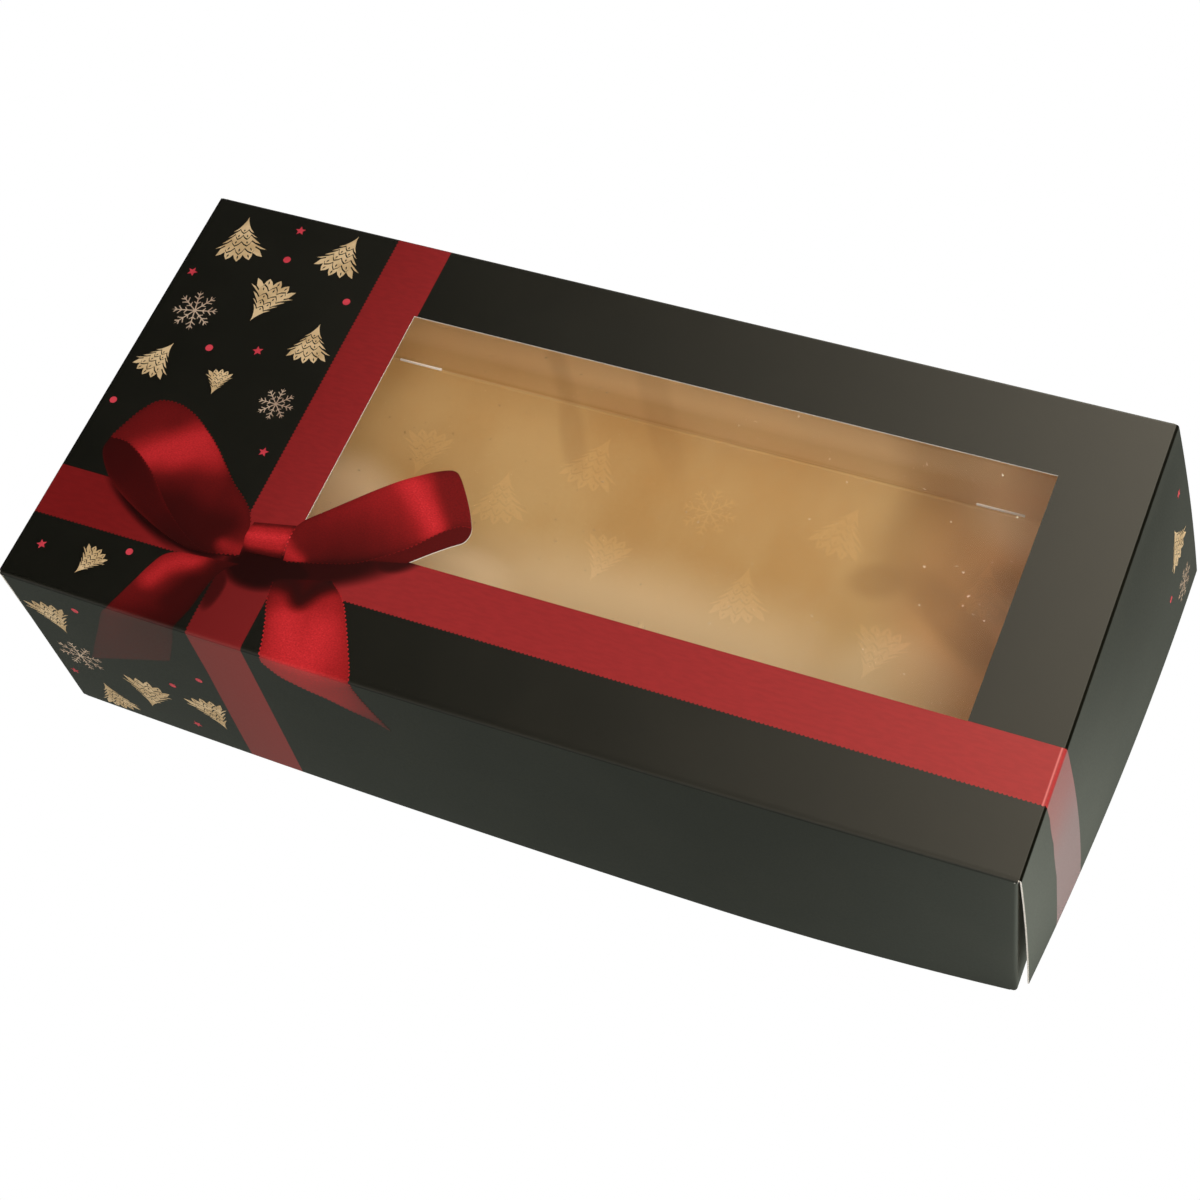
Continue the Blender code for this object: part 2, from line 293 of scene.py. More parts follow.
@dataclass(frozen=True)
class PrintedBoard:
    """The outside of the board: black print with the flat red ribbon, under a satin varnish."""

    black: Triple = (0.0014, 0.0016, 0.0010)
    worn_black: Triple = (0.0026, 0.0027, 0.0018)
    ribbon_left: Triple = (0.18, 0.0070, 0.0070)
    ribbon_right: Triple = (0.31, 0.0205, 0.0205)
    ribbon_end: Triple = (0.25, 0.06, 0.065)
    ribbon_foot: Triple = (0.20, 0.105, 0.12)
    # colour of a painted highlight: the pale line where the ribbon crosses the end crease
    ribbon_crease_highlight: Triple = (0.75, 0.2, 0.18)
    ribbon_shadow: Triple = (0.009, 0.0008, 0.0008)
    wall_share: float = 0.72
    cross_band: Flat = (69.0, 88.0)
    long_band: Flat = (24.2, 42.6)
    band_soft: float = 0.12
    picot_pitch: float = 1.35
    picot_reach: float = 0.45
    mottle_scale: float = 55.0
    thread_scale: float = 900.0
    thread_dark: float = 0.06
    fibre_scale: float = 1500.0
    swell_scale: float = 24.0
    rough: float = 0.41
    ribbon_gloss: float = 0.07
    worn_rough: float = 0.35
    relief: float = 0.02
    blots: tuple[Blot, ...] = (
        Blot((100.0, 32.5), 24.0, (33.0, 9.5), 0.8),
        Blot((121.0, 41.5), 30.0, (12.0, 5.5), 0.75),
        Blot((86.0, 27.5), 6.0, (20.0, 8.0)),
        Blot((80.0, 26.0), 0.0, (16.0, 10.0)),
        Blot((70.5, 16.0), 90.0, (12.0, 4.5), 0.6),
        Blot((36.0, 35.0), -27.0, (26.0, 6.0), 0.9),
        Blot((54.0, 28.5), -8.0, (20.0, 4.5), 0.95),
        Blot((79.0, 4.0), 0.0, (26.0, 40.0), 0.2),
    )

    def build(self, origin: Vector) -> bpy.types.Material:
        """Make the material.

        Args:
            origin: The lid's front left corner, from which the bands are measured.

        Returns:
            The material.
        """
        shade = Shade("printed_board")
        x, y, z = shade.place()
        across, along, up = x - origin.x / MM, y - origin.y / MM, z - origin.z / MM
        half = -origin.x / MM
        beyond = across - 2 * half
        mask = self._ribbon_mask(across, along)
        mottle = shade.noise(self.mottle_scale, 4.0).rise(0.35, 0.75)
        black = shade.mix(mottle, self.black, self.worn_black)
        ribbon = shade.mix(across.rise(20.0, 125.0), self.ribbon_left, self.ribbon_right)
        ribbon = shade.mix(self._shadow(shade, across, along, up), ribbon, self.ribbon_shadow)
        end = shade.mix(up.rise(-42.0, -3.0), self.ribbon_foot, self.ribbon_end)
        ribbon = shade.mix(beyond.rise(-0.2, 0.2), ribbon, end)
        # painted highlight: a thin pale line on the ribbon just inside the lid's right end crease
        ribbon = shade.mix(beyond.band(-1.6, -1.1, 0.2) * 0.7, ribbon, self.ribbon_crease_highlight)
        fibre, swell = shade.noise(self.fibre_scale, 3.0), shade.noise(self.swell_scale)
        crease = abs(across - half).band(half - 0.75, half + 3.0, 0.15) * up.band(-0.65, 1.0, 0.15)
        rough = self.rough - self.ribbon_gloss * mask + self.worn_rough * crease
        rough = rough + 0.1 * (fibre - 0.5) + 0.06 * (swell - 0.5)
        far_end = beyond.rise(0.5, 1.5) * along.rise(50.0, 150.0) * up.rise(-45.0, 0.0)
        return shade.finish(
            Base_Color=shade.mix(mask, black, ribbon),
            Metallic=crease.most(far_end * 0.35) * (1 - mask),
            Roughness=rough,
            Specular_IOR_Level=0.3,
            Normal=shade.bump(fibre * 0.6 + swell * 1.5, self.relief),
        )

    def _shadow(self, shade: Shade, across: Term, along: Term, up: Term) -> Term:
        """How dark the ribbon is from its threads, the bow's shadows and the near wall's turn from the light.

        Args:
            shade: The material's tree.
            across: Millimetres across the print.
            along: Millimetres along it.
            up: Millimetres above the lid.

        Returns:
            The darkness, from 0 to 1.
        """
        threads = shade.noise(self.thread_scale, stretch=(0.25, 1.0, 1.0))
        dark = (1 - threads.rise(0.3, 0.7)) * self.thread_dark
        for blot in self.blots:
            dark = dark.most(blot.mask(across, along) * up.rise(-8.0, -1.0))
        return (1 - (1 - dark) ** 2.2).most(up.rise(-3.0, -1.0, 1 - self.wall_share, 0.0))

    def _ribbon_mask(self, across: Term, along: Term) -> Term:
        """Where the two flat bands run, with small loops along their edges.

        Args:
            across: Millimetres across the print.
            along: Millimetres along it.

        Returns:
            The mask.
        """
        loops, side_loops = (
            self.picot_reach * abs((run * (math.pi / self.picot_pitch)).sine()) for run in (across, along)
        )
        long = along.band(self.long_band[0] - loops, self.long_band[1], self.band_soft)
        return long.most(across.band(self.cross_band[0] - side_loops, self.cross_band[1], self.band_soft))


@dataclass(frozen=True)
class GoldBoard:
    """The inside of the board: a soft gold, with painted light and shade: pools of painted light, a painted
    highlight along the far fold, and painted shade.
    """

    name: str = "gold_board"
    gain: float = 1.0
    deep: Triple = (0.50, 0.28, 0.09)
    pale: Triple = (0.625, 0.425, 0.185)
    # shaded and lit are the colours of painted shade and painted light mixed over the gold
    shaded: Triple = (0.30, 0.155, 0.05)
    lit: Triple = (0.92, 0.71, 0.42)
    # colour of painted light: a brighter, redder gold for the shaded right end
    rosy_lit: Triple = (0.78, 0.42, 0.165)
    fold_highlight_rise: Flat = (1.3, 2.3)
    cloud_scale: float = 16.0
    grain_scale: float = 900.0
    rough: float = 0.6
    relief: float = 0.002
    # painted light over the right end of the gold
    painted_right_end_light: Blot = Blot((292.0, 125.0), 0.0, (54.0, 74.0))
    # painted light: pools of light laid where the lid shades the gold
    glows: tuple[Blot, ...] = (
        Blot((170.0, 66.0), 0.0, (120.0, 52.0), 0.6),
        Blot((50.0, 94.0), 0.0, (36.0, 30.0), 0.95),
        Blot((104.0, 80.0), 0.0, (30.0, 18.0), 0.8),
        Blot((262.0, 88.0), 0.0, (28.0, 24.0), 0.3),
        Blot((292.0, 164.0), 0.0, (40.0, 26.0), 0.6),
    )
    # painted shade: darker bands laid over the gold
    painted_shades: tuple[Blot, ...] = (
        Blot((122.0, 148.0), -61.0, (26.0, 6.0), 0.24),
        Blot((154.0, 156.0), -54.0, (26.0, 7.0), 0.16),
        Blot((243.0, 123.0), 20.0, (13.0, 9.0), 0.34),
        Blot((272.0, 116.0), -36.0, (36.0, 11.0), 0.34),
        Blot((255.0, 142.0), 90.0, (42.0, 24.0), 0.4),
        Blot((286.0, 130.0), 0.0, (20.0, 15.0), 0.3),
    )

    def build(self, origin: Vector) -> bpy.types.Material:
        """Make the material.

        Args:
            origin: The lid's front left corner, from which the painted light and shade are measured.

        Returns:
            The material.
        """
        shade = Shade(self.name)
        deep, pale, lit, rosy_lit, shaded = (
            tuple(min(1.0, self.gain * part) for part in colour)
            for colour in (self.deep, self.pale, self.lit, self.rosy_lit, self.shaded)
        )
        x, y, z = shade.place()
        across, along = x - origin.x / MM, y - origin.y / MM
        cloud = shade.noise(self.cloud_scale, 4.0, (1.0, 0.6, 1.0))
        grain = shade.noise(self.grain_scale, 3.0)
        # painted light: the far wall lightened up its height where the lid shades it, a little less towards the
        # left
        wall = (z.rise(1.0, 5.0) * 0.3).most(z.rise(6.0, 24.0) * 0.72) * across.rise(40.0, 130.0, 0.7, 1.0)
        # height of a painted highlight: a thin pale line along the fold at the far wall's foot
        crease = across.rise(57.0, 274.0, *self.fold_highlight_rise)
        shades = [
            # painted light at the right end
            (self.painted_right_end_light.mask(across, along), rosy_lit),
            (wall, lit),
            (z.band(crease - 0.3, crease + 0.2, 0.25) * 0.35, lit),
            *((blot.mask(across, along), lit) for blot in self.glows),
            *((blot.mask(across, along), shaded) for blot in self.painted_shades),
        ]
        gold = shade.mix(cloud.rise(0.3, 0.7) * 0.7 + grain * 0.25, deep, pale)
        for mask, colour in shades:
            gold = shade.mix(mask, gold, colour)
        return shade.finish(
            Base_Color=gold,
            Metallic=0.05,
            Roughness=self.rough + 0.12 * (grain - 0.5),
            Specular_IOR_Level=0.25,
            Normal=shade.bump(grain, self.relief),
        )


@dataclass(frozen=True)
class WhiteCore:
    """The paper that shows where the board is cut."""

    name: str = "white_core"
    paper: Triple = (0.78, 0.74, 0.67)
    shadow: Triple = (0.6, 0.54, 0.46)
    fibre_scale: float = 1800.0
    rough: float = 0.85
    relief: float = 0.03

    def build(self) -> bpy.types.Material:
        """Make the material.

        Returns:
            The material.
        """
        shade = Shade(self.name)
        fibre = shade.noise(self.fibre_scale, 3.0)
        return shade.finish(
            Base_Color=shade.mix(fibre.rise(0.35, 0.75), self.paper, self.shadow),
            Roughness=self.rough + 0.1 * (fibre - 0.5),
            Normal=shade.bump(fibre, self.relief),
        )


@dataclass(frozen=True)
class ClearFilm:
    """The window's film: clear and glossy, with a little haze and dust."""

    tint: Triple = (0.93, 0.91, 0.86)
    clear: float = 0.01
    haze: float = 0.012
    dust: float = 0.18
    rough: float = 0.15
    ripple: float = 0.6
    haze_scale: float = 22.0
    dust_scale: float = 700.0
    ripple_scale: float = 14.0

    def build(self) -> bpy.types.Material:
        """Make the material.

        Returns:
            The material.
        """
        shade = Shade("clear_film")
        haze = shade.noise(self.haze_scale, 5.0, (1.0, 1.8, 1.0)).rise(0.5, 0.8)
        dust = shade.noise(self.dust_scale, 0.0).rise(0.845, 0.86)
        return shade.finish(
            Base_Color=self.tint,
            Metallic=1.0,
            Roughness=self.rough + 0.2 * haze,
            Alpha=self.clear + self.haze * haze + self.dust * dust,
            Normal=shade.bump(shade.noise(self.ripple_scale), self.ripple),
        )


@dataclass(frozen=True)
class SatinPrint:
    """The bow's print, whose light and dark are a value on each piece of ribbon."""

    stops: tuple[tuple[float, Triple], ...] = (
        (0.0, (0.003, 0.0004, 0.0004)),
        (0.2, (0.032, 0.001, 0.001)),
        (0.4, (0.128, 0.004, 0.004)),
        (0.6, (0.305, 0.009, 0.010)),
        (0.8, (0.575, 0.020, 0.024)),
        (1.0, (0.95, 0.08, 0.09)),
    )
    thread_scale: float = 2400.0
    thread_light: float = 0.42
    rough: float = 0.38

    def build(self) -> bpy.types.Material:
        """Make the material.

        Returns:
            The material.
        """
        shade = Shade("satin_print")
        light = shade.term("ShaderNodeAttribute", {"attribute_name": "light"}, out="Fac")
        threads = shade.noise(self.thread_scale, 1.0, (0.7, 1.0, 1.0)) - 0.5
        tone = light * (1 + self.thread_light * threads)
        return shade.finish(
            Base_Color=shade.term("ShaderNodeValToRGB", {"stops": self.stops}, {0: tone}),
            Roughness=self.rough + 0.1 * threads,
            Specular_IOR_Level=0.3,
        )


@dataclass(frozen=True)
class MotifInk:
    """An ink of the small printed motifs, which shades a little from place to place."""

    name: str
    pale: Triple
    deep: Triple
    metallic: float = 0.0
    cloud_scale: float = 160.0
    grain_scale: float = 2200.0
    rough: float = 0.45

    def build(self) -> bpy.types.Material:
        """Make the material.

        Returns:
            The material.
        """
        shade = Shade(self.name)
        cloud, grain = shade.noise(self.cloud_scale, 3.0), shade.noise(self.grain_scale)
        return shade.finish(
            Base_Color=shade.mix(cloud.rise(0.35, 0.65) * 0.8 + grain * 0.2, self.pale, self.deep),
            Metallic=self.metallic,
            Roughness=self.rough + 0.15 * (grain - 0.5),
            Specular_IOR_Level=0.3,
        )


# Mesh work


def shares(count: int) -> list[float]:
    """Evenly spaced shares from 0 to 1, count steps apart."""
    return [i / count for i in range(count + 1)]


def blend_value(stops: Sequence[Flat], share: float) -> float:
    """Smoothly read a value between stops of (share, value).

    Args:
        stops: Shares and their values, in order.
        share: The share to read at.

    Returns:
        The value.
    """
    for (low, first), (high, second) in zip(stops, stops[1:]):
        if share <= high:
            step = max(0.0, min(1.0, (share - low) / (high - low)))
            return first + (second - first) * step * step * (3 - 2 * step)
    return stops[-1][1]


def curve_through(points: Sequence[Flat], share: float) -> Vector:
    """A place on a smooth curve through points.

    Args:
        points: The points that it passes.
        share: From 0 at the first point to 1 at the last.

    Returns:
        The place, as a flat vector.
    """
    knots = [Vector(point) for point in points]
    lengths = [(b - a).length for a, b in zip(knots, knots[1:])]
    distance, index = share * sum(lengths), 0
    while index < len(lengths) - 1 and distance > lengths[index]:
        distance -= lengths[index]
        index += 1
    step = min(1.0, distance / lengths[index])
    start, end = knots[index], knots[index + 1]
    before = knots[index - 1] if index else start + start - end
    after = knots[index + 2] if index + 2 < len(knots) else end + end - start
    bend = (before * -1 + start * 3 - end * 3 + after) * step**3
    bend += (before * 2 - start * 5 + end * 4 - after) * step**2
    return start + ((end - before) * step + bend) / 2


def on_section(points: Sequence[Sequence[float]], share: float) -> Vector:
    """A place on the section of a sheet.

    Args:
        points: The two ends of a flat sheet, or a round crease's start, corner and end.
        share: From 0 at the start to 1 at the end.

    Returns:
        The place.
    """
    start, *corner, end = (Vector(point) for point in points)
    rest = 1 - share
    if corner:
        return rest * rest * start + 2 * share * rest * corner[0] + share * share * end
    return rest * start + share * end


@dataclass
class Stock:
    """The finishes of a board, and the making of sheets from it."""

    outside: bpy.types.Material
    inside: bpy.types.Material
    core: bpy.types.Material
    board: float

    def bent(self, name: str, skin: bmesh.types.BMesh, place: Place, outward: Triple) -> bpy.types.Object:
        """Lay a flat skin in its place as a printed face, and give it the board's thickness behind.

        Args:
            name: The piece's name.
            skin: The flat skin.
            place: Where a flat point lies.
            outward: Rough direction in which the printed face looks.

        Returns:
            The piece.
        """
        for vertex in skin.verts:
            vertex.co = place(vertex.co.x, vertex.co.y)
        skin.normal_update()
        facing = sum((face.normal * face.calc_area() for face in skin.faces), Vector())
        if facing.dot(Vector(outward)) < 0:
            bmesh.ops.reverse_faces(skin, faces=skin.faces)
        made = piece_from(name, skin, (self.outside, self.inside, self.core))
        wall = made.modifiers.new("board", "SOLIDIFY")
        wall.thickness, wall.offset = self.board, -1.0
        wall.material_offset, wall.material_offset_rim = 1, 2
        return settle(made)

    def sheet(self, name: str, steps: tuple[int, int], place: Place, outward: Triple) -> bpy.types.Object:
        """Make a sheet whose printed face is where place puts a pair of shares.

        Args:
            name: The piece's name.
            steps: Grid steps along its two ways.
            place: Where a pair of shares lies.
            outward: Rough direction in which the printed face looks.

        Returns:
            The piece.
        """
        skin = bmesh.new()
        middle = Matrix.Translation((0.5, 0.5, 0.0))
        bmesh.ops.create_grid(skin, x_segments=steps[0], y_segments=steps[1], size=0.5, matrix=middle)
        return self.bent(name, skin, place, outward)

    def strip(
        self, name: str, steps: tuple[int, int], span: Flat, section: Section, outward: Triple
    ) -> bpy.types.Object:
        """Make a sheet that keeps to a section along a span.

        Args:
            name: The piece's name.
            steps: Grid steps along the span and round the section.
            span: Where it starts and ends.
            section: The section's points at a place in the span.
            outward: Rough direction in which the printed face looks.

        Returns:
            The piece.
        """
        low, high = span

        def place(along: float, around: float) -> Vector:
            """A place on the strip."""
            return on_section(section(low + (high - low) * along), around)

        return self.sheet(name, steps, place, outward)


def fill_loops(target: bmesh.types.BMesh, loops: Sequence[Sequence[Flat]]) -> None:
    """Fill flat loops in a mesh, where a loop inside another is a hole.

    Args:
        target: The mesh.
        loops: The loops' points.
    """
    edges = []
    for loop in loops:
        corners = [target.verts.new((x, y, 0.0)) for x, y in loop]
        edges += [target.edges.new(pair) for pair in zip(corners, corners[1:] + corners[:1])]
    bmesh.ops.triangle_fill(target, use_beauty=True, edges=edges)


def piece_from(
    name: str, shape: bmesh.types.BMesh, finishes: Sequence[bpy.types.Material]
) -> bpy.types.Object:
    """Turn a mesh being built into a piece, and free it.

    Args:
        name: The piece's name.
        shape: The mesh.
        finishes: Its materials, in the order of their numbers.

    Returns:
        The piece.
    """
    mesh = bpy.data.meshes.new(name)
    shape.to_mesh(mesh)
    shape.free()
    for finish in finishes:
        mesh.materials.append(finish)
    made = bpy.data.objects.new(name, mesh)
    bpy.context.scene.collection.objects.link(made)
    return made


def settle(piece: bpy.types.Object) -> bpy.types.Object:
    """Apply a piece's modifiers and shade its soft bends smooth.

    Args:
        piece: The piece.

    Returns:
        The same piece.
    """
    ready = piece.evaluated_get(bpy.context.evaluated_depsgraph_get())
    mesh = bpy.data.meshes.new_from_object(ready)
    mesh.name = piece.name
    piece.modifiers.clear()
    piece.data = mesh
    mesh.shade_smooth()
    mesh.set_sharp_from_angle(angle=math.radians(35.0))
    return piece


def declare(piece: bpy.types.Object, nodes: Sequence[str], slot: Slot) -> None:
    """Hide the nodes that a piece stands for, and log the piece.

    Args:
        piece: The piece.
        nodes: The nodes that it replaces.
        slot: Its material slot; not used.
    """
    if nodes:
        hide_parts(*nodes)
    LOG.info("%s: %d faces", piece.name, len(piece.data.polygons))


def ride(piece: bpy.types.Object, body: Body, *nodes: str, slot: Slot = Slot.PRINTED) -> None:
    """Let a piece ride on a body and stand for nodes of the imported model."""
    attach(piece, body.value)
    declare(piece, nodes, slot)


def bend_between(
    piece: bpy.types.Object, bodies: tuple[Body, Body], start: Triple, end: Triple, *nodes: str
) -> None:
    """Fix a piece that lies across the joint of two bodies in place, and hide the nodes that it stands for.

    Args:
        piece: The finished piece.
        bodies: The two bodies; not used.
        start: Where the first body's part ends; not used.
        end: Where the second body's part starts; not used.
        *nodes: The nodes that it replaces.
    """
    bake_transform(piece)
    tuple(start)
    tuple(end)
    declare(piece, nodes, Slot.PRINTED)


# The box


@dataclass
class Carton:
    """Places and bends of the box's outer faces, which all its sheets and prints follow."""

    half_length: float
    front: float
    lid_back: float
    top: float
    board: float
    ear_x: float
    end_x: float
    back: float
    rim_top: float
    hinge_round: float = 1.3 * MM
    fold_round: float = 0.9 * MM
    foot_round: float = 1.2 * MM
    foot_bulge: Flat = (4.3 * MM, 0.7)
    crease_sag: Flat = (1.3 * MM, 0.4)

    @classmethod
    def from_frame(cls) -> Carton:
        """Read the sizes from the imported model.

        Returns:
            The carton.
        """
        lid_low, lid_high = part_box("lid_panel")
        return cls(
            half_length=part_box("right_flap_fold")[1].x,
            front=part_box("lid_hinge_fold")[0].y,
            lid_back=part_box("tuck_flap_fold")[1].y,
            top=lid_high.z,
            board=lid_high.z - lid_low.z,
            ear_x=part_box("front_right_ear")[1].x,
            end_x=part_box("right_end_wall")[1].x,
            back=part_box("base_back_fold")[1].y,
            rim_top=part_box("back_rim_fold")[1].z,
        )

    @property
    def corner(self) -> Vector:
        """The lid's front left corner, where the print's millimetres start."""
        return Vector((-self.half_length, self.front, self.top))

    def _swell(self, x: float, most: float, peak: float) -> float:
        """How far the near wall stands out at x, in two half parabolas that meet at the peak's share.

        Args:
            x: Place along the box.
            most: The most that it stands out.
            peak: Share where it does.

        Returns:
            The distance.
        """
        share = (x + self.ear_x) / (2 * self.ear_x)
        reach = peak if share < peak else 1 - peak
        return most * max(0.0, 1 - ((share - peak) / reach) ** 2)

    def foot_y(self, x: float) -> float:
        """Where the near wall's foot is at a place along the box."""
        return self.front - self._swell(x, *self.foot_bulge)

    def near_wall(self, x: float, z: float) -> Vector:
        """A place on the near wall's outer face.

        Args:
            x: Place along the box.
            z: Height.

        Returns:
            The place.
        """
        drop_share = (self.top - z) / self.top
        out = self._swell(x, *self.crease_sag) * (1 - drop_share)
        return Vector((x, self.front - out - self._swell(x, *self.foot_bulge) * drop_share, z))

    def crease(self, x: float) -> Sequence[Sequence[float]]:
        """The section of the crease from the lid to the near wall."""
        end = self.near_wall(x, self.top - self.hinge_round)
        return (x, self.front + self.hinge_round, self.top), (x, end.y, self.top), end

    def print_place(self, point: Flat, lift: float) -> Vector:
        """A place of the print on the lid or, below zero, down the near wall.

        Args:
            point: Millimetres across the lid from its left end and along it from its crease.
            lift: Height above the board.

        Returns:
            The place.
        """
        x = point[0] * MM - self.half_length
        run = point[1] * MM
        if run >= self.hinge_round:
            return Vector((x, self.front + run, self.top + lift))
        if run <= -self.hinge_round:
            return self.near_wall(x, self.top + run) - Vector((0.0, lift, 0.0))
        share = (self.hinge_round - run) / (2 * self.hinge_round)
        away = Vector((0.0, -share, 1 - share)).normalized()
        return on_section(self.crease(x), share) + lift * away

    def crease_cuts(self, steps: int = 8) -> list[float]:
        """Places of the print, in millimetres, at which the crease's sheet is bent."""
        reach = self.hinge_round / MM
        return [reach - 2 * reach * share for share in shares(steps)]

    def hinge(self) -> tuple[Triple, Triple]:
        """Where the bend of the lid's hinge starts on the near wall and ends on the lid."""
        return (0.0, self.front, self.top - self.hinge_round), (0.0, self.front + self.hinge_round, self.top)


@dataclass
class EndFlap:
    """One of the lid's end flaps, sprung outwards and hollow towards the box."""

    carton: Carton
    side: Side
    leans: Flat
    bend_shares: Flat = (1.0, 0.25)
    length: float = 78.0 * MM
    setback: float = 2.6 * MM
    corner_gap: float = 0.5 * MM
    steps: tuple[int, int] = (28, 18)
    crease_steps: tuple[int, int] = (28, 6)

    @property
    def name(self) -> str:
        """The flap's side in lower case."""
        return self.side.name.lower()

    @property
    def body(self) -> Body:
        """The flap's body."""
        return Body[self.side.name]

    def outer(self, across: float, drop: float) -> Vector:
        """A place on the flap's printed face.

        Args:
            across: Share of the width, from the near edge.
            drop: Distance down the flap from its fold.

        Returns:
            The place.
        """
        half_board = self.carton.board / 2
        drop_share = drop / self.length
        lean = self.leans[0] + (self.leans[1] - self.leans[0]) * (1 - (1 - across) ** 2)
        bend = self.bend_shares[0] + (self.bend_shares[1] - self.bend_shares[0]) * across
        out = drop * math.sin(lean) * (1 + bend * (1 - drop_share))
        turn = lean * (1 + bend * (1 - 2 * drop_share))
        x = self.carton.half_length - half_board + out + half_board * math.cos(turn)
        near = self.carton.front + self.corner_gap + self.setback * drop_share
        y = near + (self.carton.lid_back - self.corner_gap - near) * across
        z = self.carton.top - half_board - drop * math.cos(lean) + half_board * math.sin(turn)
        return Vector((self.side.value * x, y, z))

    def print_place(self, point: Flat, lift: float) -> Vector:
        """A place of the flap's print.

        Args:
            point: Millimetres along the flap's fold from its near end, and up from the fold.
            lift: Height above the board.

        Returns:
            The place.
        """
        across = point[0] * MM / (self.carton.lid_back - self.carton.front)
        return self.outer(across, -point[1] * MM) + Vector((self.side.value * lift, 0.0, 0.0))

    def crease(self, across: float) -> Sequence[Sequence[float]]:
        """The section of the flap's crease at a share of its width.

        Args:
            across: The share.

        Returns:
            The section's points.
        """
        end = self.outer(across, self.carton.fold_round)
        corner_x = self.side.value * self.carton.half_length
        start_x = corner_x - self.side.value * self.carton.fold_round
        return (start_x, end.y, self.carton.top), (corner_x, end.y, self.carton.top), end

    def build(self, stock: Stock) -> None:
        """Make the flap and its crease.

        Args:
            stock: The board.
        """
        sign, fold, top = self.side.value, self.carton.fold_round, self.carton.top

        def flap_place(across: float, away: float) -> Vector:
            """A place on the flap below its crease."""
            return self.outer(across, fold + (self.length - fold) * away)

        flap = stock.sheet(f"{self.name}_end_flap_board", self.steps, flap_place, (sign, 0, 0))
        ride(flap, self.body, f"{self.name}_end_flap")
        crease = stock.strip(f"{self.name}_flap_crease", self.crease_steps, (0, 1), self.crease, (sign, 0, 1))
        corner_x = sign * self.carton.half_length
        start, end = (corner_x - sign * fold, 0.0, top), (corner_x, 0.0, top - fold)
        bend_between(crease, (Body.LID, self.body), start, end, f"{self.name}_flap_fold")


@dataclass
class Lid:
    """The lid's panel with its die-cut window, its hinge crease and its tuck flap."""

    carton: Carton
    window_low: Flat = (87.0, 42.5)
    window_high: Flat = (301.4, 129.0)
    loop_size: Flat = (53.0, 34.6)
    loop_knots: tuple[Triple, ...] = (
        (0.0, 0.125, 42.0), (0.69, 1.0, 22.0), (0.785, 0.93, -50.0), (0.975, 0.5, -63.0),
        (0.955, 0.31, -145.0), (0.72, 0.0, -136.0),
    )
    loop_handle_share: float = 0.33
    loop_steps: int = 12
    tuck_gap: float = 3.0 * MM
    tuck_taper: float = 10.0 * MM

    def loop_edge(self) -> list[Flat]:
        """The bow loop's die-cut edge in the window, from the left edge to the front edge.

        Each knot is a share of the loop's size across and up, and the heading there in degrees.

        Returns:
            The edge's points.
        """
        knots = []
        for across, up, turn in self.loop_knots:
            x = self.window_low[0] + self.loop_size[0] * across
            y = self.window_low[1] + self.loop_size[1] * up
            heading = Vector((math.cos(math.radians(turn)), math.sin(math.radians(turn))))
            knots.append((Vector((x, y)), heading))
        points = [tuple(knots[0][0])]
        for (start, out), (end, back) in zip(knots, knots[1:]):
            handle = (end - start).length * self.loop_handle_share
            for share in shares(self.loop_steps)[1:]:
                rest = 1 - share
                place = rest**3 * start + 3 * rest**2 * share * (start + out * handle)
                place += 3 * rest * share**2 * (end - back * handle) + share**3 * end
                points.append(tuple(place))
        return points

    def build(self, stock: Stock) -> None:
        """Make the panel, the hinge crease and the tuck flap.

        Args:
            stock: The board.
        """
        carton, fold, top, back = self.carton, self.carton.fold_round, self.carton.top, self.carton.lid_back
        half = carton.half_length - fold
        length, depth = 2 * carton.half_length / MM, (back - carton.front) / MM
        left, near, right, far = fold / MM, carton.hinge_round / MM, length - fold / MM, depth - fold / MM
        outline = [(left, near), (right, near), (right, far), (left, far)]
        (low_x, low_y), (high_x, high_y) = self.window_low, self.window_high
        window = self.loop_edge() + [(high_x, low_y), (high_x, high_y), (low_x, high_y)]
        skin = bmesh.new()
        fill_loops(skin, [outline, window])
        panel = stock.bent("lid_board", skin, lambda x, y: carton.print_place((x, y), 0.0), (0, 0, 1))
        ride(panel, Body.LID, "lid_panel")
        crease = stock.strip("lid_hinge_crease", (40, 8), (-half, half), carton.crease, (0, -1, 1))
        bend_between(crease, (Body.TRAY, Body.LID), *carton.hinge(), "lid_hinge_fold")
        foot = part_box("tuck_flap")[0]
        reach = carton.end_x - carton.board - self.tuck_gap
        flap = stock.strip("tuck_flap_board", (20, 4), (-1, 1), lambda share: (
            (reach * share, back, top - fold),
            ((reach - self.tuck_taper) * share, foot.y + carton.board, foot.z),
        ), (0, 1, 0))
        ride(flap, Body.TUCK, "tuck_flap")
        tuck_crease = stock.strip("tuck_flap_crease", (20, 6), (-half, half), lambda x: (
            (x, back - fold, top), (x, back, top), (x, back, top - fold),
        ), (0, 1, 1))
        start, end = (0.0, back - fold, top), (0.0, back, top - fold)
        bend_between(tuck_crease, (Body.LID, Body.TUCK), start, end, "tuck_flap_fold")


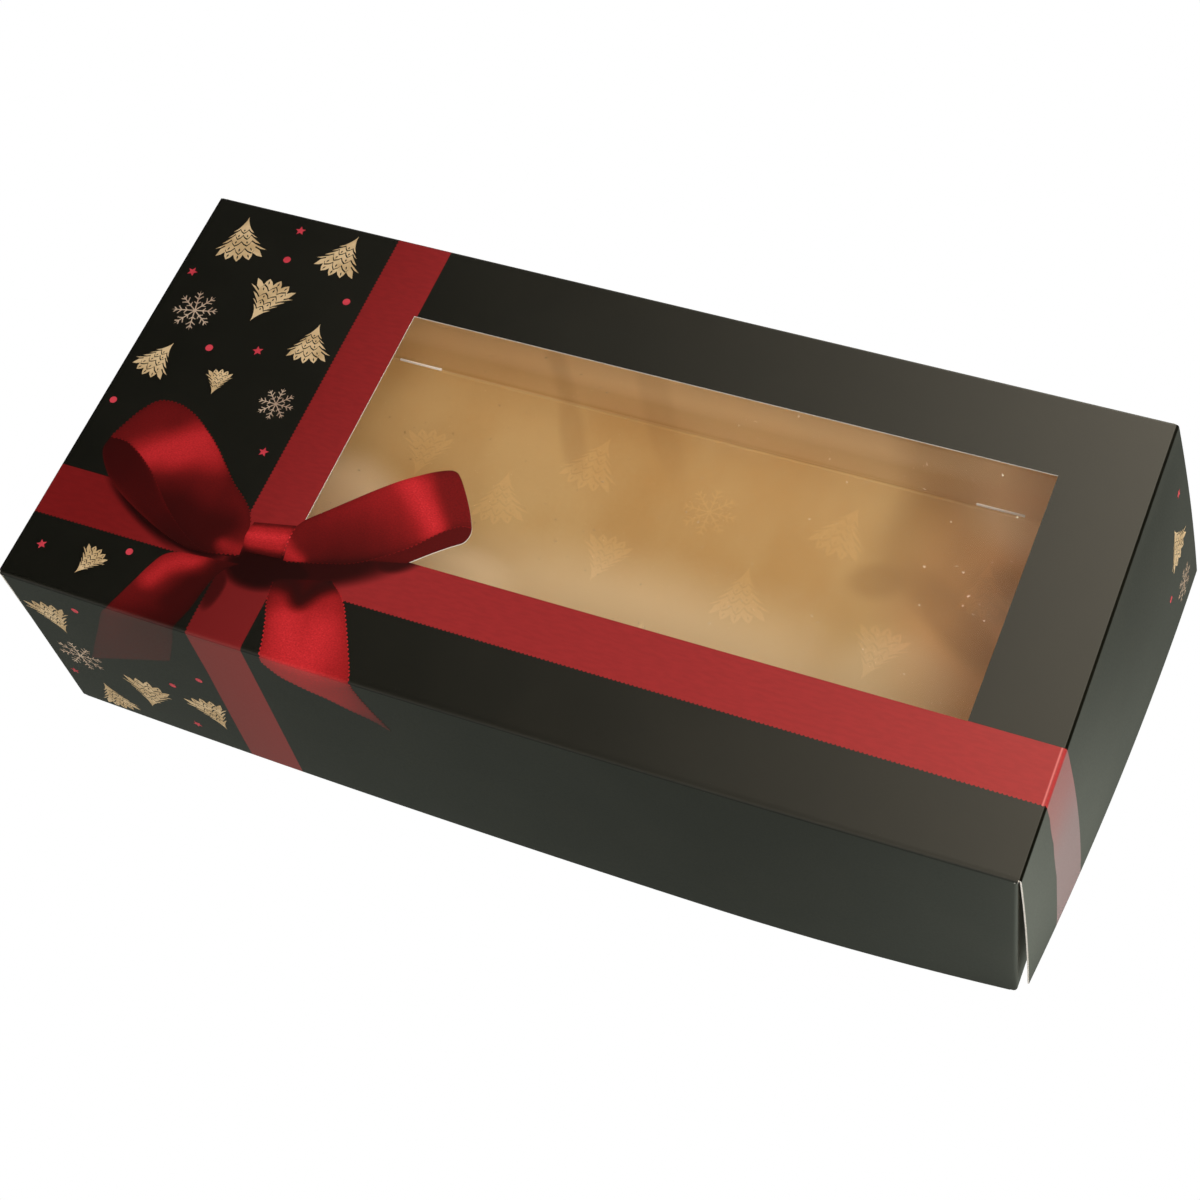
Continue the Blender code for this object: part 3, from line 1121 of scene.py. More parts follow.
@dataclass
class Tray:
    """The base, the near wall with its ears, the end walls and the rolled far wall."""

    carton: Carton
    stock: Stock
    ear_length: float = 60.0 * MM
    ear_taper: float = 3.0 * MM
    lid_clearance: float = 1.0 * MM
    far_wall_depth: float = 2.1 * MM
    foot_reach: float = 1.4 * MM
    foot_gap: float = 0.05 * MM
    foot_lift: float = 0.03 * MM
    foot_board: float = 0.02 * MM
    tongue_size: Triple = (16.8 * MM, 0.75 * MM, 0.75 * MM)
    tongue_middles: Flat = (-108.0 * MM, 109.0 * MM)
    tongue_rises: Flat = (1.6 * MM, 2.9 * MM)
    # painted light: paper lighter than the board's white core, so that the tongues' edges stay bright in the
    # box's shade
    lit_tongue_core: WhiteCore = WhiteCore("lit_tongue_core", (1.0, 0.99, 0.95), (0.98, 0.96, 0.9))

    def build(self) -> None:
        """Make all the tray's sheets."""
        self._build_base()
        self._build_near_wall()
        self._build_end_walls()
        self._build_far_wall()
        self._build_foot()

    def _add(
        self, name: str, steps: tuple[int, int], span: Flat, section: Section, outward: Triple, node: str,
        slot: Slot = Slot.PRINTED,
    ) -> None:
        """Make a strip of board that stands for a node of the tray.

        Args:
            name: The piece's name.
            steps: Grid steps along the span and round the section.
            span: Where it starts and ends.
            section: The section's points at a place in the span.
            outward: Rough direction in which the printed face looks.
            node: The node that it replaces.
            slot: Its material slot.
        """
        ride(self.stock.strip(name, steps, span, section, outward), Body.TRAY, node, slot=slot)

    def _build_base(self) -> None:
        """Make the base and the creases at its four sides."""
        carton, foot = self.carton, self.carton.foot_round
        half, near, back = carton.end_x - foot, carton.front + foot, carton.back - foot
        span = (-half, half)
        self._add("base_board", (32, 8), span, lambda x: (
            (x, carton.foot_y(x) + foot, 0.0), (x, back, 0.0),
        ), (0, 0, -1), "base_panel", Slot.GOLD)
        self._add("base_front_crease", (32, 6), span, lambda x: (
            carton.near_wall(x, foot), (x, carton.foot_y(x), 0.0), (x, carton.foot_y(x) + foot, 0.0),
        ), (0, -1, -1), "base_front_fold")
        self._add("base_back_crease", (8, 6), span, lambda x: (
            self.far_wall(x, foot, carton.board / 2), (x, carton.back, 0.0), (x, back, 0.0),
        ), (0, 1, -1), "base_back_fold")
        for side in Side:
            x, name = side.value * carton.end_x, side.name.lower()
            self._add(f"base_{name}_crease", (6, 6), (near, back), lambda y: (
                (x, y, foot), (x, y, 0.0), (x - side.value * foot, y, 0.0),
            ), (side.value, 0, -1), f"base_{name}_fold")

    def _build_near_wall(self) -> None:
        """Make the near wall, and the ears folded back from its ends."""
        carton, foot, front = self.carton, self.carton.foot_round, self.carton.front
        half, top = carton.ear_x - foot, carton.top - carton.hinge_round
        self._add("near_wall_board", (40, 10), (-half, half), lambda x: (
            carton.near_wall(x, foot), carton.near_wall(x, top),
        ), (0, -1, 0), "front_wall")
        ear_top, taper = self._inner_top(), self.ear_taper
        for side in Side:
            sign, ear_x, name = side.value, side.value * carton.ear_x, side.name.lower()
            self._add(f"near_{name}_ear_crease", (12, 6), (foot, ear_top), lambda z: (
                carton.near_wall(sign * half, z), (ear_x, front, z), (ear_x, front + foot, z),
            ), (sign, -1, 0), f"front_{name}_ear_fold")
            self._add(f"near_{name}_ear_board", (6, 6), (0, 1), lambda share: (
                (ear_x, front + foot, foot + (ear_top - foot) * share),
                (ear_x, front + self.ear_length, foot + taper + (ear_top - foot - 2 * taper) * share),
            ), (sign, 0, 0), f"front_{name}_ear")

    def _inner_top(self) -> float:
        """How high the ears and the end walls stand under the lid."""
        return self.carton.top - self.carton.board - self.lid_clearance

    def _build_end_walls(self) -> None:
        """Make the two end walls."""
        carton, foot = self.carton, self.carton.foot_round
        near = carton.front + carton.board + foot / 4
        for side in Side:
            name = side.name.lower()
            self._add(f"{name}_end_wall_board", (6, 6), (0, 1), lambda share: [
                (side.value * carton.end_x, near + (self._end_far(z) - near) * share, z)
                for z in (foot, self._inner_top())
            ], (side.value, 0, 0), f"{name}_end_wall", Slot.GOLD)

    def _end_far(self, z: float) -> float:
        """Where the end walls stop before the far wall at a height."""
        return self.far_wall(0.0, z, -self.far_wall_depth / 2).y - self.carton.foot_round / 4

    def far_wall(self, x: float, height: float, depth: float) -> Vector:
        """A place in the far wall, which leans inwards.

        Args:
            x: Place along the box.
            height: Height up the wall from the base's middle.
            depth: Distance outwards from the middle of its outer panel.

        Returns:
            The place.
        """
        half_board = self.carton.board / 2
        run = self.carton.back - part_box("back_rim_fold")[1].y
        lean = math.atan2(run, self.carton.rim_top - half_board)
        y = self.carton.back - half_board - height * math.sin(lean) + depth * math.cos(lean)
        return Vector((x, y, half_board + height * math.cos(lean) + depth * math.sin(lean)))

    def _build_far_wall(self) -> None:
        """Make the far wall's outer panel, its rolled rim and its gold inner panel."""
        carton, stock, foot = self.carton, self.stock, self.carton.foot_round
        half, half_board, rise = carton.end_x - foot, carton.board / 2, carton.rim_top - foot
        inner = half_board - self.far_wall_depth

        def rim_place(across: float, around: float) -> Vector:
            """A place on the rolled rim.

            Args:
                across: Share along the box.
                around: Share round the rim.

            Returns:
                The place.
            """
            turn = math.pi * around
            middle, reach = (half_board + inner) / 2, (half_board - inner) / 2
            height = rise + (carton.rim_top - half_board - rise) * math.sin(turn)
            return self.far_wall(half * (2 * across - 1), height, middle + reach * math.cos(turn))

        self._add("far_wall_outer_board", (8, 6), (-half, half), lambda x: (
            self.far_wall(x, foot, half_board), self.far_wall(x, rise, half_board),
        ), (0, 1, 0), "back_outer_wall")
        gold = Stock(stock.inside, stock.outside, stock.core, stock.board)
        wall = gold.strip("far_wall_inner_board", (8, 6), (-half, half), lambda x: (
            self.far_wall(x, carton.board, inner), self.far_wall(x, rise, inner),
        ), (0, -1, 0))
        ride(wall, Body.TRAY, "back_inner_wall", slot=Slot.GOLD)
        ride(stock.sheet("far_wall_rim", (8, 10), rim_place, (0, 0, 1)), Body.TRAY, "back_rim_fold")

    def _build_foot(self) -> None:
        """Make the rounded gold foot of the far wall, and its two lock tongues' white cut edges, whose paper is
        painted lighter against the shade inside the box.
        """
        half, inner = self.carton.end_x - self.carton.foot_round, self.carton.board / 2 - self.far_wall_depth
        gap, back = Vector((0.0, self.foot_gap, 0.0)), Vector((0.0, self.foot_reach, -self.foot_lift))

        def section(x: float) -> Sequence[Vector]:
            """The foot's section at a place along the box."""
            corner = self.far_wall(x, self.carton.board / 2, inner) - gap
            return corner - back, corner, self.far_wall(x, self.foot_reach, inner) - gap

        thin = Stock(*[self.stock.inside] * 3, self.foot_board)
        foot = thin.strip("far_wall_foot", (8, 8), (-half, half), section, (0, -1, 1))
        ride(foot, Body.TRAY, slot=Slot.GOLD)
        edges = bmesh.new()
        height = self.tongue_size[2]
        for middle, rise in zip(self.tongue_middles, self.tongue_rises):
            place = self.far_wall(middle, rise, inner) - Vector((0.0, height / 2, 0.0))
            size = Matrix.Diagonal((*self.tongue_size, 1.0))
            bmesh.ops.create_cube(edges, size=1.0, matrix=Matrix.Translation(place) @ size)
        bmesh.ops.bevel(
            edges, geom=edges.edges[:], offset=height / 5, offset_type="OFFSET", segments=2,
            profile=0.5, affect="EDGES", material=-1,
        )
        made = piece_from("lock_tongue_edges", edges, (self.lit_tongue_core.build(),))
        ride(settle(made), Body.TRAY, slot=Slot.GOLD)


# The print


class PrintLayer:
    """Flat printed shapes, laid out in millimetres and then bent onto the box as a thin solid."""

    thickness: float = 0.02 * MM

    def __init__(self, name: str) -> None:
        """Start a layer, in which the third coordinate is a shape's height above the board.

        Args:
            name: The name of the piece that it becomes.
        """
        self.name = name
        self.flat = bmesh.new()
        self.light = self.flat.verts.layers.float.new("light")

    def _draw(self, draw: Callable[[], object], lift: float, light: float, ink: int) -> None:
        """Draw a flat shape, and give it its height, its light and its ink.

        Args:
            draw: What draws it.
            lift: Height above the board, in millimetres.
            light: The print's light value.
            ink: Number of the material.
        """
        old_corners, old_faces = set(self.flat.verts), set(self.flat.faces)
        draw()
        for corner in set(self.flat.verts) - old_corners:
            corner[self.light] = light
            corner.co.z = lift
        for face in set(self.flat.faces) - old_faces:
            face.material_index = ink

    def add_outline(self, loops: Sequence[Line], lift: float, light: float = 0.5, ink: int = 0) -> None:
        """Fill an outline.

        Args:
            loops: The outline, and any holes in it.
            lift: Height above the board, in millimetres.
            light: The print's light value.
            ink: Number of the material.
        """
        self._draw(lambda: fill_loops(self.flat, loops), lift, light, ink)

    def add_dot(
        self, middle: Flat, radius: float, lift: float, light: float = 0.5, ink: int = 0, sides: int = 16
    ) -> None:
        """Add a round dot.

        Args:
            middle: Its middle.
            radius: Its radius, in millimetres.
            lift: Height above the board, in millimetres.
            light: The print's light value.
            ink: Number of the material.
            sides: How many sides the circle has.
        """
        spot = Matrix.Translation((*middle, 0.0))
        self._draw(lambda: bmesh.ops.create_circle(
            self.flat, cap_ends=True, radius=radius, segments=sides, matrix=spot
        ), lift, light, ink)

    def add_ribbon(self, ribbon: RibbonPiece, steps: tuple[int, int]) -> None:
        """Add a stretch of ribbon as a grid between its two edges.

        Args:
            ribbon: The stretch.
            steps: Grid steps along and across it.
        """
        made = bmesh.ops.create_grid(self.flat, x_segments=steps[0], y_segments=steps[1], size=0.5)
        for corner in made["verts"]:
            along, across = corner.co.x + 0.5, corner.co.y + 0.5
            place = curve_through(ribbon.first, along).lerp(curve_through(ribbon.second, along), across)
            corner[self.light] = ribbon.light(along, across, place)
            corner.co = (*place, ribbon.lift)

    def cut(self, axis: int, place: float, keep: int = 0) -> None:
        """Cut the layer across an axis at a place.

        Args:
            axis: 0 to cut across x, 1 across y.
            place: Where to cut.
            keep: 0 to keep both sides, 1 to drop what is beyond the place, -1 what is before it.
        """
        point, normal = Vector(), Vector()
        point[axis], normal[axis] = place, keep or 1
        parts = self.flat.verts[:] + self.flat.edges[:] + self.flat.faces[:]
        bmesh.ops.bisect_plane(
            self.flat, geom=parts, dist=1e-5, plane_co=point, plane_no=normal, clear_outer=bool(keep)
        )

    def bend(
        self, place: Callable[[Flat, float], Vector], inks: Sequence[bpy.types.Material],
        cuts: Sequence[float] = (),
    ) -> bpy.types.Object:
        """Bend the layer onto the box.

        Args:
            place: Where a flat point lies at a height in metres.
            inks: The materials.
            cuts: Places along the print at which faces are cut so that they can bend.

        Returns:
            The piece.
        """
        for cut in cuts:
            self.cut(1, cut)
        self.flat.normal_update()
        bmesh.ops.reverse_faces(self.flat, faces=[face for face in self.flat.faces if face.normal.z < 0])
        for corner in self.flat.verts:
            corner.co = place((corner.co.x, corner.co.y), corner.co.z * MM)
        made = piece_from(self.name, self.flat, inks)
        coat = made.modifiers.new("coat", "SOLIDIFY")
        coat.thickness, coat.offset = self.thickness, -1.0
        return settle(made)


@dataclass(frozen=True)
class Sweep:
    """A soft stroke of light or shade along a line of the bow's print, in millimetres."""

    line: Line
    reach: float
    light: float
    strength: float = 1.0

    def share(self, place: Vector) -> float:
        """How much of the stroke lies on a place, from 1 on its line to 0 at its reach.

        Args:
            place: The place, in millimetres.

        Returns:
            The share.
        """
        gaps = []
        for start, end in zip(self.line, self.line[1:]):
            nearest, along = intersect_point_line(place, Vector(start), Vector(end))
            nearest = nearest.xy if 0 < along < 1 else Vector(start if along <= 0 else end)
            gaps.append((place - nearest).length)
        return self.strength * blend_value(((0.0, 1.0), (self.reach, 0.0)), min(gaps))


@dataclass(frozen=True)
class RibbonPiece:
    """One stretch of the printed bow, between two edges, with its light along each of them."""

    first: Line
    second: Line
    first_lights: Line
    second_lights: Line
    lift: float
    sweeps: tuple[Sweep, ...] = ()
    edge_dark: float = 0.05
    picots: tuple[bool, bool] = (False, False)

    def light(self, along: float, across: float, place: Vector) -> float:
        """The light at a place, as shares along and across and in millimetres.

        Args:
            along: Share along the ribbon.
            across: Share across it.
            place: The place, in millimetres.

        Returns:
            The light value.
        """
        first, second = blend_value(self.first_lights, along), blend_value(self.second_lights, along)
        light = first + (second - first) * across
        for sweep in self.sweeps:
            light += (sweep.light - light) * sweep.share(place)
        return max(0.0, light - self.edge_dark * abs(2 * across - 1) ** 8)


def bow_ribbons() -> tuple[RibbonPiece, ...]:
    """The bow's stretches of ribbon, from the lowest to the highest.

    Returns:
        The stretches.
    """
    loop_low = ((10.9, 56.6), (14.6, 57), (18.5, 56.2), (25.6, 52.2), (32.5, 47), (41.6, 38.3), (52.8, 30.4),
        (61.5, 27.3), (72.6, 29))
    left_inside = RibbonPiece(
        ((10.9, 56.6), (10.7, 51.6), (14.3, 46.3), (19.8, 41.2), (29.6, 35.6), (42.4, 30), (52.9, 26.8),
            (61.8, 26.5), (72.6, 28)),
        loop_low,
        ((0, 0.13), (0.15, 0.17), (0.35, 0.22), (0.5, 0.2), (0.7, 0.1), (1, 0.08)),
        ((0, 0.14), (0.3, 0.2), (0.5, 0.22), (0.65, 0.16), (0.8, 0.12), (1, 0.1)),
        lift=0.03, edge_dark=-0.08,
    )
    left_loop = RibbonPiece(
        loop_low,
        ((10.9, 56.6), (13.1, 62.7), (15.5, 68.3), (18.9, 73.1), (22.3, 74.6), (27.8, 74.5), (34.5, 72),
            (41.3, 67.6), (47.2, 63), (54.2, 56.4), (58.7, 52.2), (63.8, 48.5), (68.2, 44.5), (71, 39.8)),
        ((0, 0.36), (0.16, 0.42), (0.27, 0.44), (0.37, 0.32), (0.49, 0.22), (0.6, 0.19), (0.8, 0.16),
            (0.87, 0.2), (0.93, 0.42), (1, 0.45)),
        ((0, 0.33), (0.15, 0.34), (0.33, 0.37), (0.45, 0.42), (0.6, 0.44), (0.69, 0.4), (0.78, 0.32),
            (1, 0.33)),
        lift=0.06, picots=(True, True),
        sweeps=(
            Sweep(((36, 57), (42, 60), (48, 61)), 12, 0.66),
            Sweep(((25, 52.5), (29, 56), (35, 60), (39, 63.5), (44, 68)), 11, 0.72),
            Sweep(((45, 40), (55, 35), (65, 38)), 9, 0.17, 0.75),
            Sweep(((65.5, 31), (73.5, 30)), 4, 0.52),
        ),
    )
    right_inside = RibbonPiece(
        ((87, 34), (96, 36), (106, 38), (116, 40), (124.7, 42)),
        ((87, 36), (98, 42), (108, 46), (118, 50), (128, 54)),
        ((0, 0.16), (0.3, 0.16), (0.7, 0.26), (1, 0.28)),
        ((0, 0.16), (0.3, 0.16), (0.7, 0.26), (1, 0.28)),
        lift=0.03,
    )
    right_loop = RibbonPiece(
        ((86.9, 31.3), (93, 32.6), (100.5, 34.6), (108.1, 37), (115.7, 41.6), (123.4, 48), (129.2, 54.4),
            (134.4, 58.9), (138.6, 59.9)),
        ((84.6, 41.8), (87, 46.6), (92.7, 52.4), (98.4, 58.1), (104.2, 63.8), (110.2, 69.1), (116.6, 73.6),
            (120, 75.6), (123.6, 77.1), (126.2, 76.9), (128.6, 74.7)),
        ((0, 0.4), (0.17, 0.26), (0.28, 0.22), (0.4, 0.24), (0.5, 0.3), (0.6, 0.38), (0.68, 0.46), (0.8, 0.5),
            (0.9, 0.4), (1, 0.4)),
        ((0, 0.36), (0.12, 0.42), (0.26, 0.49), (0.4, 0.53), (0.53, 0.6), (0.66, 0.64), (0.78, 0.56),
            (0.88, 0.44), (1, 0.43)),
        lift=0.06, edge_dark=0.08, picots=(True, False),
        sweeps=(
            Sweep(((110.5, 71.5), (116.5, 67), (121.3, 62.5), (126.5, 57.5), (128.5, 55)), 8, 0.78),
            Sweep(((121.5, 77), (126, 70), (131, 64), (135, 59)), 5.5, 0.42),
            Sweep(((84, 37), (87, 34.5), (91.5, 32.5)), 4.5, 0.66),
        ),
    )
    left_tail = RibbonPiece(
        ((72.1, 25.8), (61.9, 25), (54, 24.2), (49.2, 21.9), (46.4, 16.4), (43.8, 8.7), (40.6, 0), (37, -4.8),
            (31, -17.5), (24.8, -30.6), (18.6, -43.8)),
        ((74.2, 26), (71, 23.4), (68.9, 19.8), (67.5, 13.8), (66.3, 6.2), (64.4, 0), (62.8, -4.8), (61, -10),
            (59, -15), (57, -20), (55, -24.9)),
        ((0, 0.2), (0.1, 0.4), (0.2, 0.5), (0.34, 0.46), (0.42, 0.38), (0.5, 0.3), (0.58, 0.24), (1, 0.2)),
        ((0, 0.14), (0.3, 0.16), (0.55, 0.14), (1, 0.2)),
        lift=0.03,
        sweeps=(
            Sweep(((62, 22.5), (56, 21.5), (52, 18.5), (49, 13)), 6.5, 0.67),
            Sweep(((67, 23), (63, 17), (59, 8)), 6, 0.16, 0.7),
        ),
    )
    right_tail = RibbonPiece(
        ((87.3, 24.5), (88.4, 17.4), (91.6, 9.5), (94.6, 0), (94.8, -4.5), (97.6, -8.5), (100, -10.8),
            (107, -13.7), (114, -15.6), (121.2, -18.6), (128.8, -21.2), (133.6, -24.5)),
        ((104.8, 29.2), (111.5, 23.2), (119.5, 9.8), (124.6, 0), (125.4, -4), (127.5, -10.7), (130.5, -18.1),
            (133.8, -24.7)),
        ((0, 0.2), (0.1, 0.5), (0.2, 0.64), (0.34, 0.66), (0.42, 0.62), (0.7, 0.56), (1, 0.24)),
        ((0, 0.3), (0.14, 0.62), (0.38, 0.66), (0.54, 0.62), (0.64, 0.46), (0.78, 0.4), (1, 0.22)),
        lift=0.06, picots=(True, True), edge_dark=0.08,
        sweeps=(
            Sweep(((98, 12), (104, 3), (110, 3), (109, 12)), 10, 0.76),
            Sweep(((86, 27), (95, 24), (98.3, 20.3), (101, 25), (106, 30.5)), 6, 0.08),
        ),
    )
    knot = RibbonPiece(
        ((71.8, 41.2), (71.2, 38), (71.5, 34.5), (73.2, 30.6)),
        ((85.4, 44), (85, 41), (85.2, 37), (85.9, 31.6)),
        ((0, 0.3), (0.22, 0.64), (0.45, 0.78), (0.72, 0.62), (1, 0.2)),
        ((0, 0.3), (0.2, 0.62), (0.4, 0.78), (0.7, 0.66), (1, 0.2)),
        lift=0.12, picots=(False, True), edge_dark=0.1,
    )
    return left_inside, right_inside, left_tail, left_loop, right_loop, right_tail, knot


@dataclass
class Bow:
    """The bow's print, in stretches of ribbon laid over each other."""

    carton: Carton
    lid: Lid
    steps: tuple[int, int] = (80, 28)
    picot_pitch: float = 1.4
    picot_size: float = 0.45
    picot_light: float = 1.1
    picot_drop: float = 0.005
    ground_lift: float = 0.02
    ground_light: float = 0.29
    ground_start: Flat = (87.0, 33.0)
    ground_end: Line = ((104.0, 37.0), (95.0, 34.5))
    rim_lift: float = 0.045
    rim_light: float = 0.44
    rim_from: Flat = (122.0, 59.0)
    rim_end: Line = ((128.0, 60.0), (120.0, 68.0))

    def build(self, satin: bpy.types.Material) -> None:
        """Make the bow as one print that bends at the lid's hinge.

        Args:
            satin: Its material.
        """
        layer = PrintLayer("bow_print")
        edge = self.lid.loop_edge()
        layer.add_outline([[self.ground_start, *edge, *self.ground_end]], self.ground_lift, self.ground_light)
        rim = [(x, y) for x, y in edge if x > self.rim_from[0] and y > self.rim_from[1]]
        layer.add_outline([[*rim, *self.rim_end]], self.rim_lift, self.rim_light)
        for ribbon in bow_ribbons():
            layer.add_ribbon(ribbon, self.steps)
            sides = ((ribbon.first, ribbon.first_lights), (ribbon.second, ribbon.second_lights))
            for (line, lights), wanted in zip(sides, ribbon.picots):
                if wanted:
                    self._add_picots(layer, line, lights, ribbon.lift)
        made = layer.bend(self.carton.print_place, (satin,), self.carton.crease_cuts())
        bend_between(made, (Body.TRAY, Body.LID), *self.carton.hinge())

    def _add_picots(self, layer: PrintLayer, edge: Line, lights: Line, lift: float) -> None:
        """Add the little loops along an edge of the ribbon.

        Args:
            layer: The layer.
            edge: The edge's points.
            lights: The light along it.
            lift: The ribbon's height above the board, in millimetres.
        """
        length = sum((Vector(b) - Vector(a)).length for a, b in zip(edge, edge[1:]))
        for share in shares(int(length / self.picot_pitch))[1:-1]:
            place, light = tuple(curve_through(edge, share)), self.picot_light * blend_value(lights, share)
            layer.add_dot(place, self.picot_size, lift - self.picot_drop, light, sides=8)


class Ink(Enum):
    """The inks of the small motifs, as places in their list."""

    GOLD = 0
    RED = 1
    SNOW = 2


def star() -> list[Flat]:
    """A five-pointed star, one high about its middle."""
    points = [(0.22 if i % 2 else 0.5, math.radians(90 + 36 * i)) for i in range(10)]
    return [(radius * math.cos(angle), radius * math.sin(angle)) for radius, angle in points]


def snowflake() -> list[Flat]:
    """A flake one high about its middle, with eight arms and three pairs of barbs on each.

    Returns:
        Its outline.
    """
    side = [(0.012, 0.035), (0.012, 0.16), (0.062, 0.205), (0.07, 0.192), (0.07, 0.225), (0.012, 0.195),
            (0.011, 0.27), (0.085, 0.34), (0.096, 0.325), (0.093, 0.365), (0.011, 0.305), (0.01, 0.37),
            (0.062, 0.43), (0.06, 0.455), (0.009, 0.41), (0.0, 0.5)]
    arm = side + [(-x, y) for x, y in reversed(side[:-1])]
    turns = [Matrix.Rotation(math.radians(-45 * i), 2) for i in range(8)]
    return [tuple(turn @ Vector(point)) for turn in turns for point in reversed(arm)]


def fir_tier(
    half: float, base: float, leaves: int, depth: float, arch: float
) -> list[tuple[Flat, Flat, Flat]]:
    """One tier of a fir's branches.

    Args:
        half: Half of its width.
        base: Height of its lowest leaf.
        leaves: How many leaves it has.
        depth: Length of a leaf.
        arch: How much higher its outermost leaves are.

    Returns:
        The left root, the tip and the right root of each leaf.
    """
    tier = []
    for i in range(leaves):
        place = 2 * i / (leaves - 1) - 1
        spread = half * place * (1 + 0.05 * math.sin(7 * i + leaves))
        tip = (spread, base + arch * abs(place) ** 1.5 + 0.008 * math.sin(5 * i + 9 * leaves))
        roots = []
        for root in (place - 1 / (leaves - 1), place + 1 / (leaves - 1)):
            inner = (half * root * 0.8, base + depth + arch * abs(root) ** 1.5)
            outer = (math.copysign(half * 0.62, root), base + arch + depth * 0.8)
            roots.append(inner if abs(root) < 1 else outer)
        tier.append((roots[0], tip, roots[1]))
    return tier


def fir(gap: float = 0.03, plump: float = 0.09, vein_width: float = 0.017) -> list[list[list[Flat]]]:
    """A fir one high about its middle: tiers of leafy branches, with a dark vein in the inner leaves.

    Args:
        gap: Width of the dark line between two tiers.
        plump: How much a leaf swells to each side, as a share of its length.
        vein_width: Half of a vein's width.

    Returns:
        The loops of each tier.
    """
    tiers = ((0.19, 0.15, 3, 0.085, 0.01), (0.27, 0.015, 4, 0.095, 0.03), (0.35, -0.135, 4, 0.105, 0.05),
             (0.46, -0.3, 5, 0.115, 0.085), (0.42, -0.47, 5, 0.13, 0.1))
    upper = [(-0.105, 0.245), (-0.055, 0.32), (0.0, 0.42), (0.022, 0.5), (0.034, 0.42), (0.07, 0.32),
             (0.11, 0.245)]
    width = Vector((vein_width, 0.0))
    shapes = []
    for tier in tiers:
        lower: list[Flat] = []
        veins = []
        for i, (left, tip, right) in enumerate(fir_tier(*tier)):
            shoulders = []
            for root, side in ((left, plump), (right, -plump)):
                reach = Vector(tip) - Vector(root)
                shoulders.append(tuple(Vector(root) + reach / 2 + side * Vector((reach.y, -reach.x))))
            first, last = i == 0, i == tier[2] - 1
            lower += ([] if first else [left, shoulders[0]]) + [tip] + ([] if last else [shoulders[1]])
            if not (first or last):
                middle = (Vector(left) + Vector(right)) / 2
                vein = Vector(tip) - middle
                waist = middle + 0.35 * vein
                diamond = (middle + 0.72 * vein, waist + width, middle + 0.08 * vein, waist - width)
                veins.append([tuple(point) for point in diamond])
        shapes.append([lower + list(reversed(upper)), *veins])
        upper = [(0.98 * x, y - gap) for x, y in lower[1:-1]]
    return shapes


@dataclass(frozen=True)
class Layout:
    """The motifs of one panel: each one's middle and height in millimetres, and its turn in degrees."""

    firs: tuple[tuple[float, ...], ...]
    flakes: tuple[tuple[float, ...], ...]
    stars: tuple[tuple[float, ...], ...] = ()
    dots: tuple[Triple, ...] = ()

    def press(self, layer: PrintLayer, lift: float = 0.03) -> None:
        """Add the motifs to a layer.

        Args:
            layer: The layer.
            lift: Height above the board, in millimetres.
        """
        kinds = (
            (self.firs, fir(), Ink.GOLD),
            (self.flakes, [[snowflake()]], Ink.SNOW),
            (self.stars, [[star()]], Ink.RED),
        )
        for spots, shapes, ink in kinds:
            for x, y, size, degrees in spots:
                turn, place = Matrix.Rotation(math.radians(degrees), 2), Vector((x, y))
                for loops in shapes:
                    laid = [[tuple(turn @ Vector(point) * size + place) for point in loop] for loop in loops]
                    layer.add_outline(laid, lift, ink=ink.value)
        for x, y, size in self.dots:
            layer.add_dot((x, y), size / 2, lift, ink=Ink.RED.value)


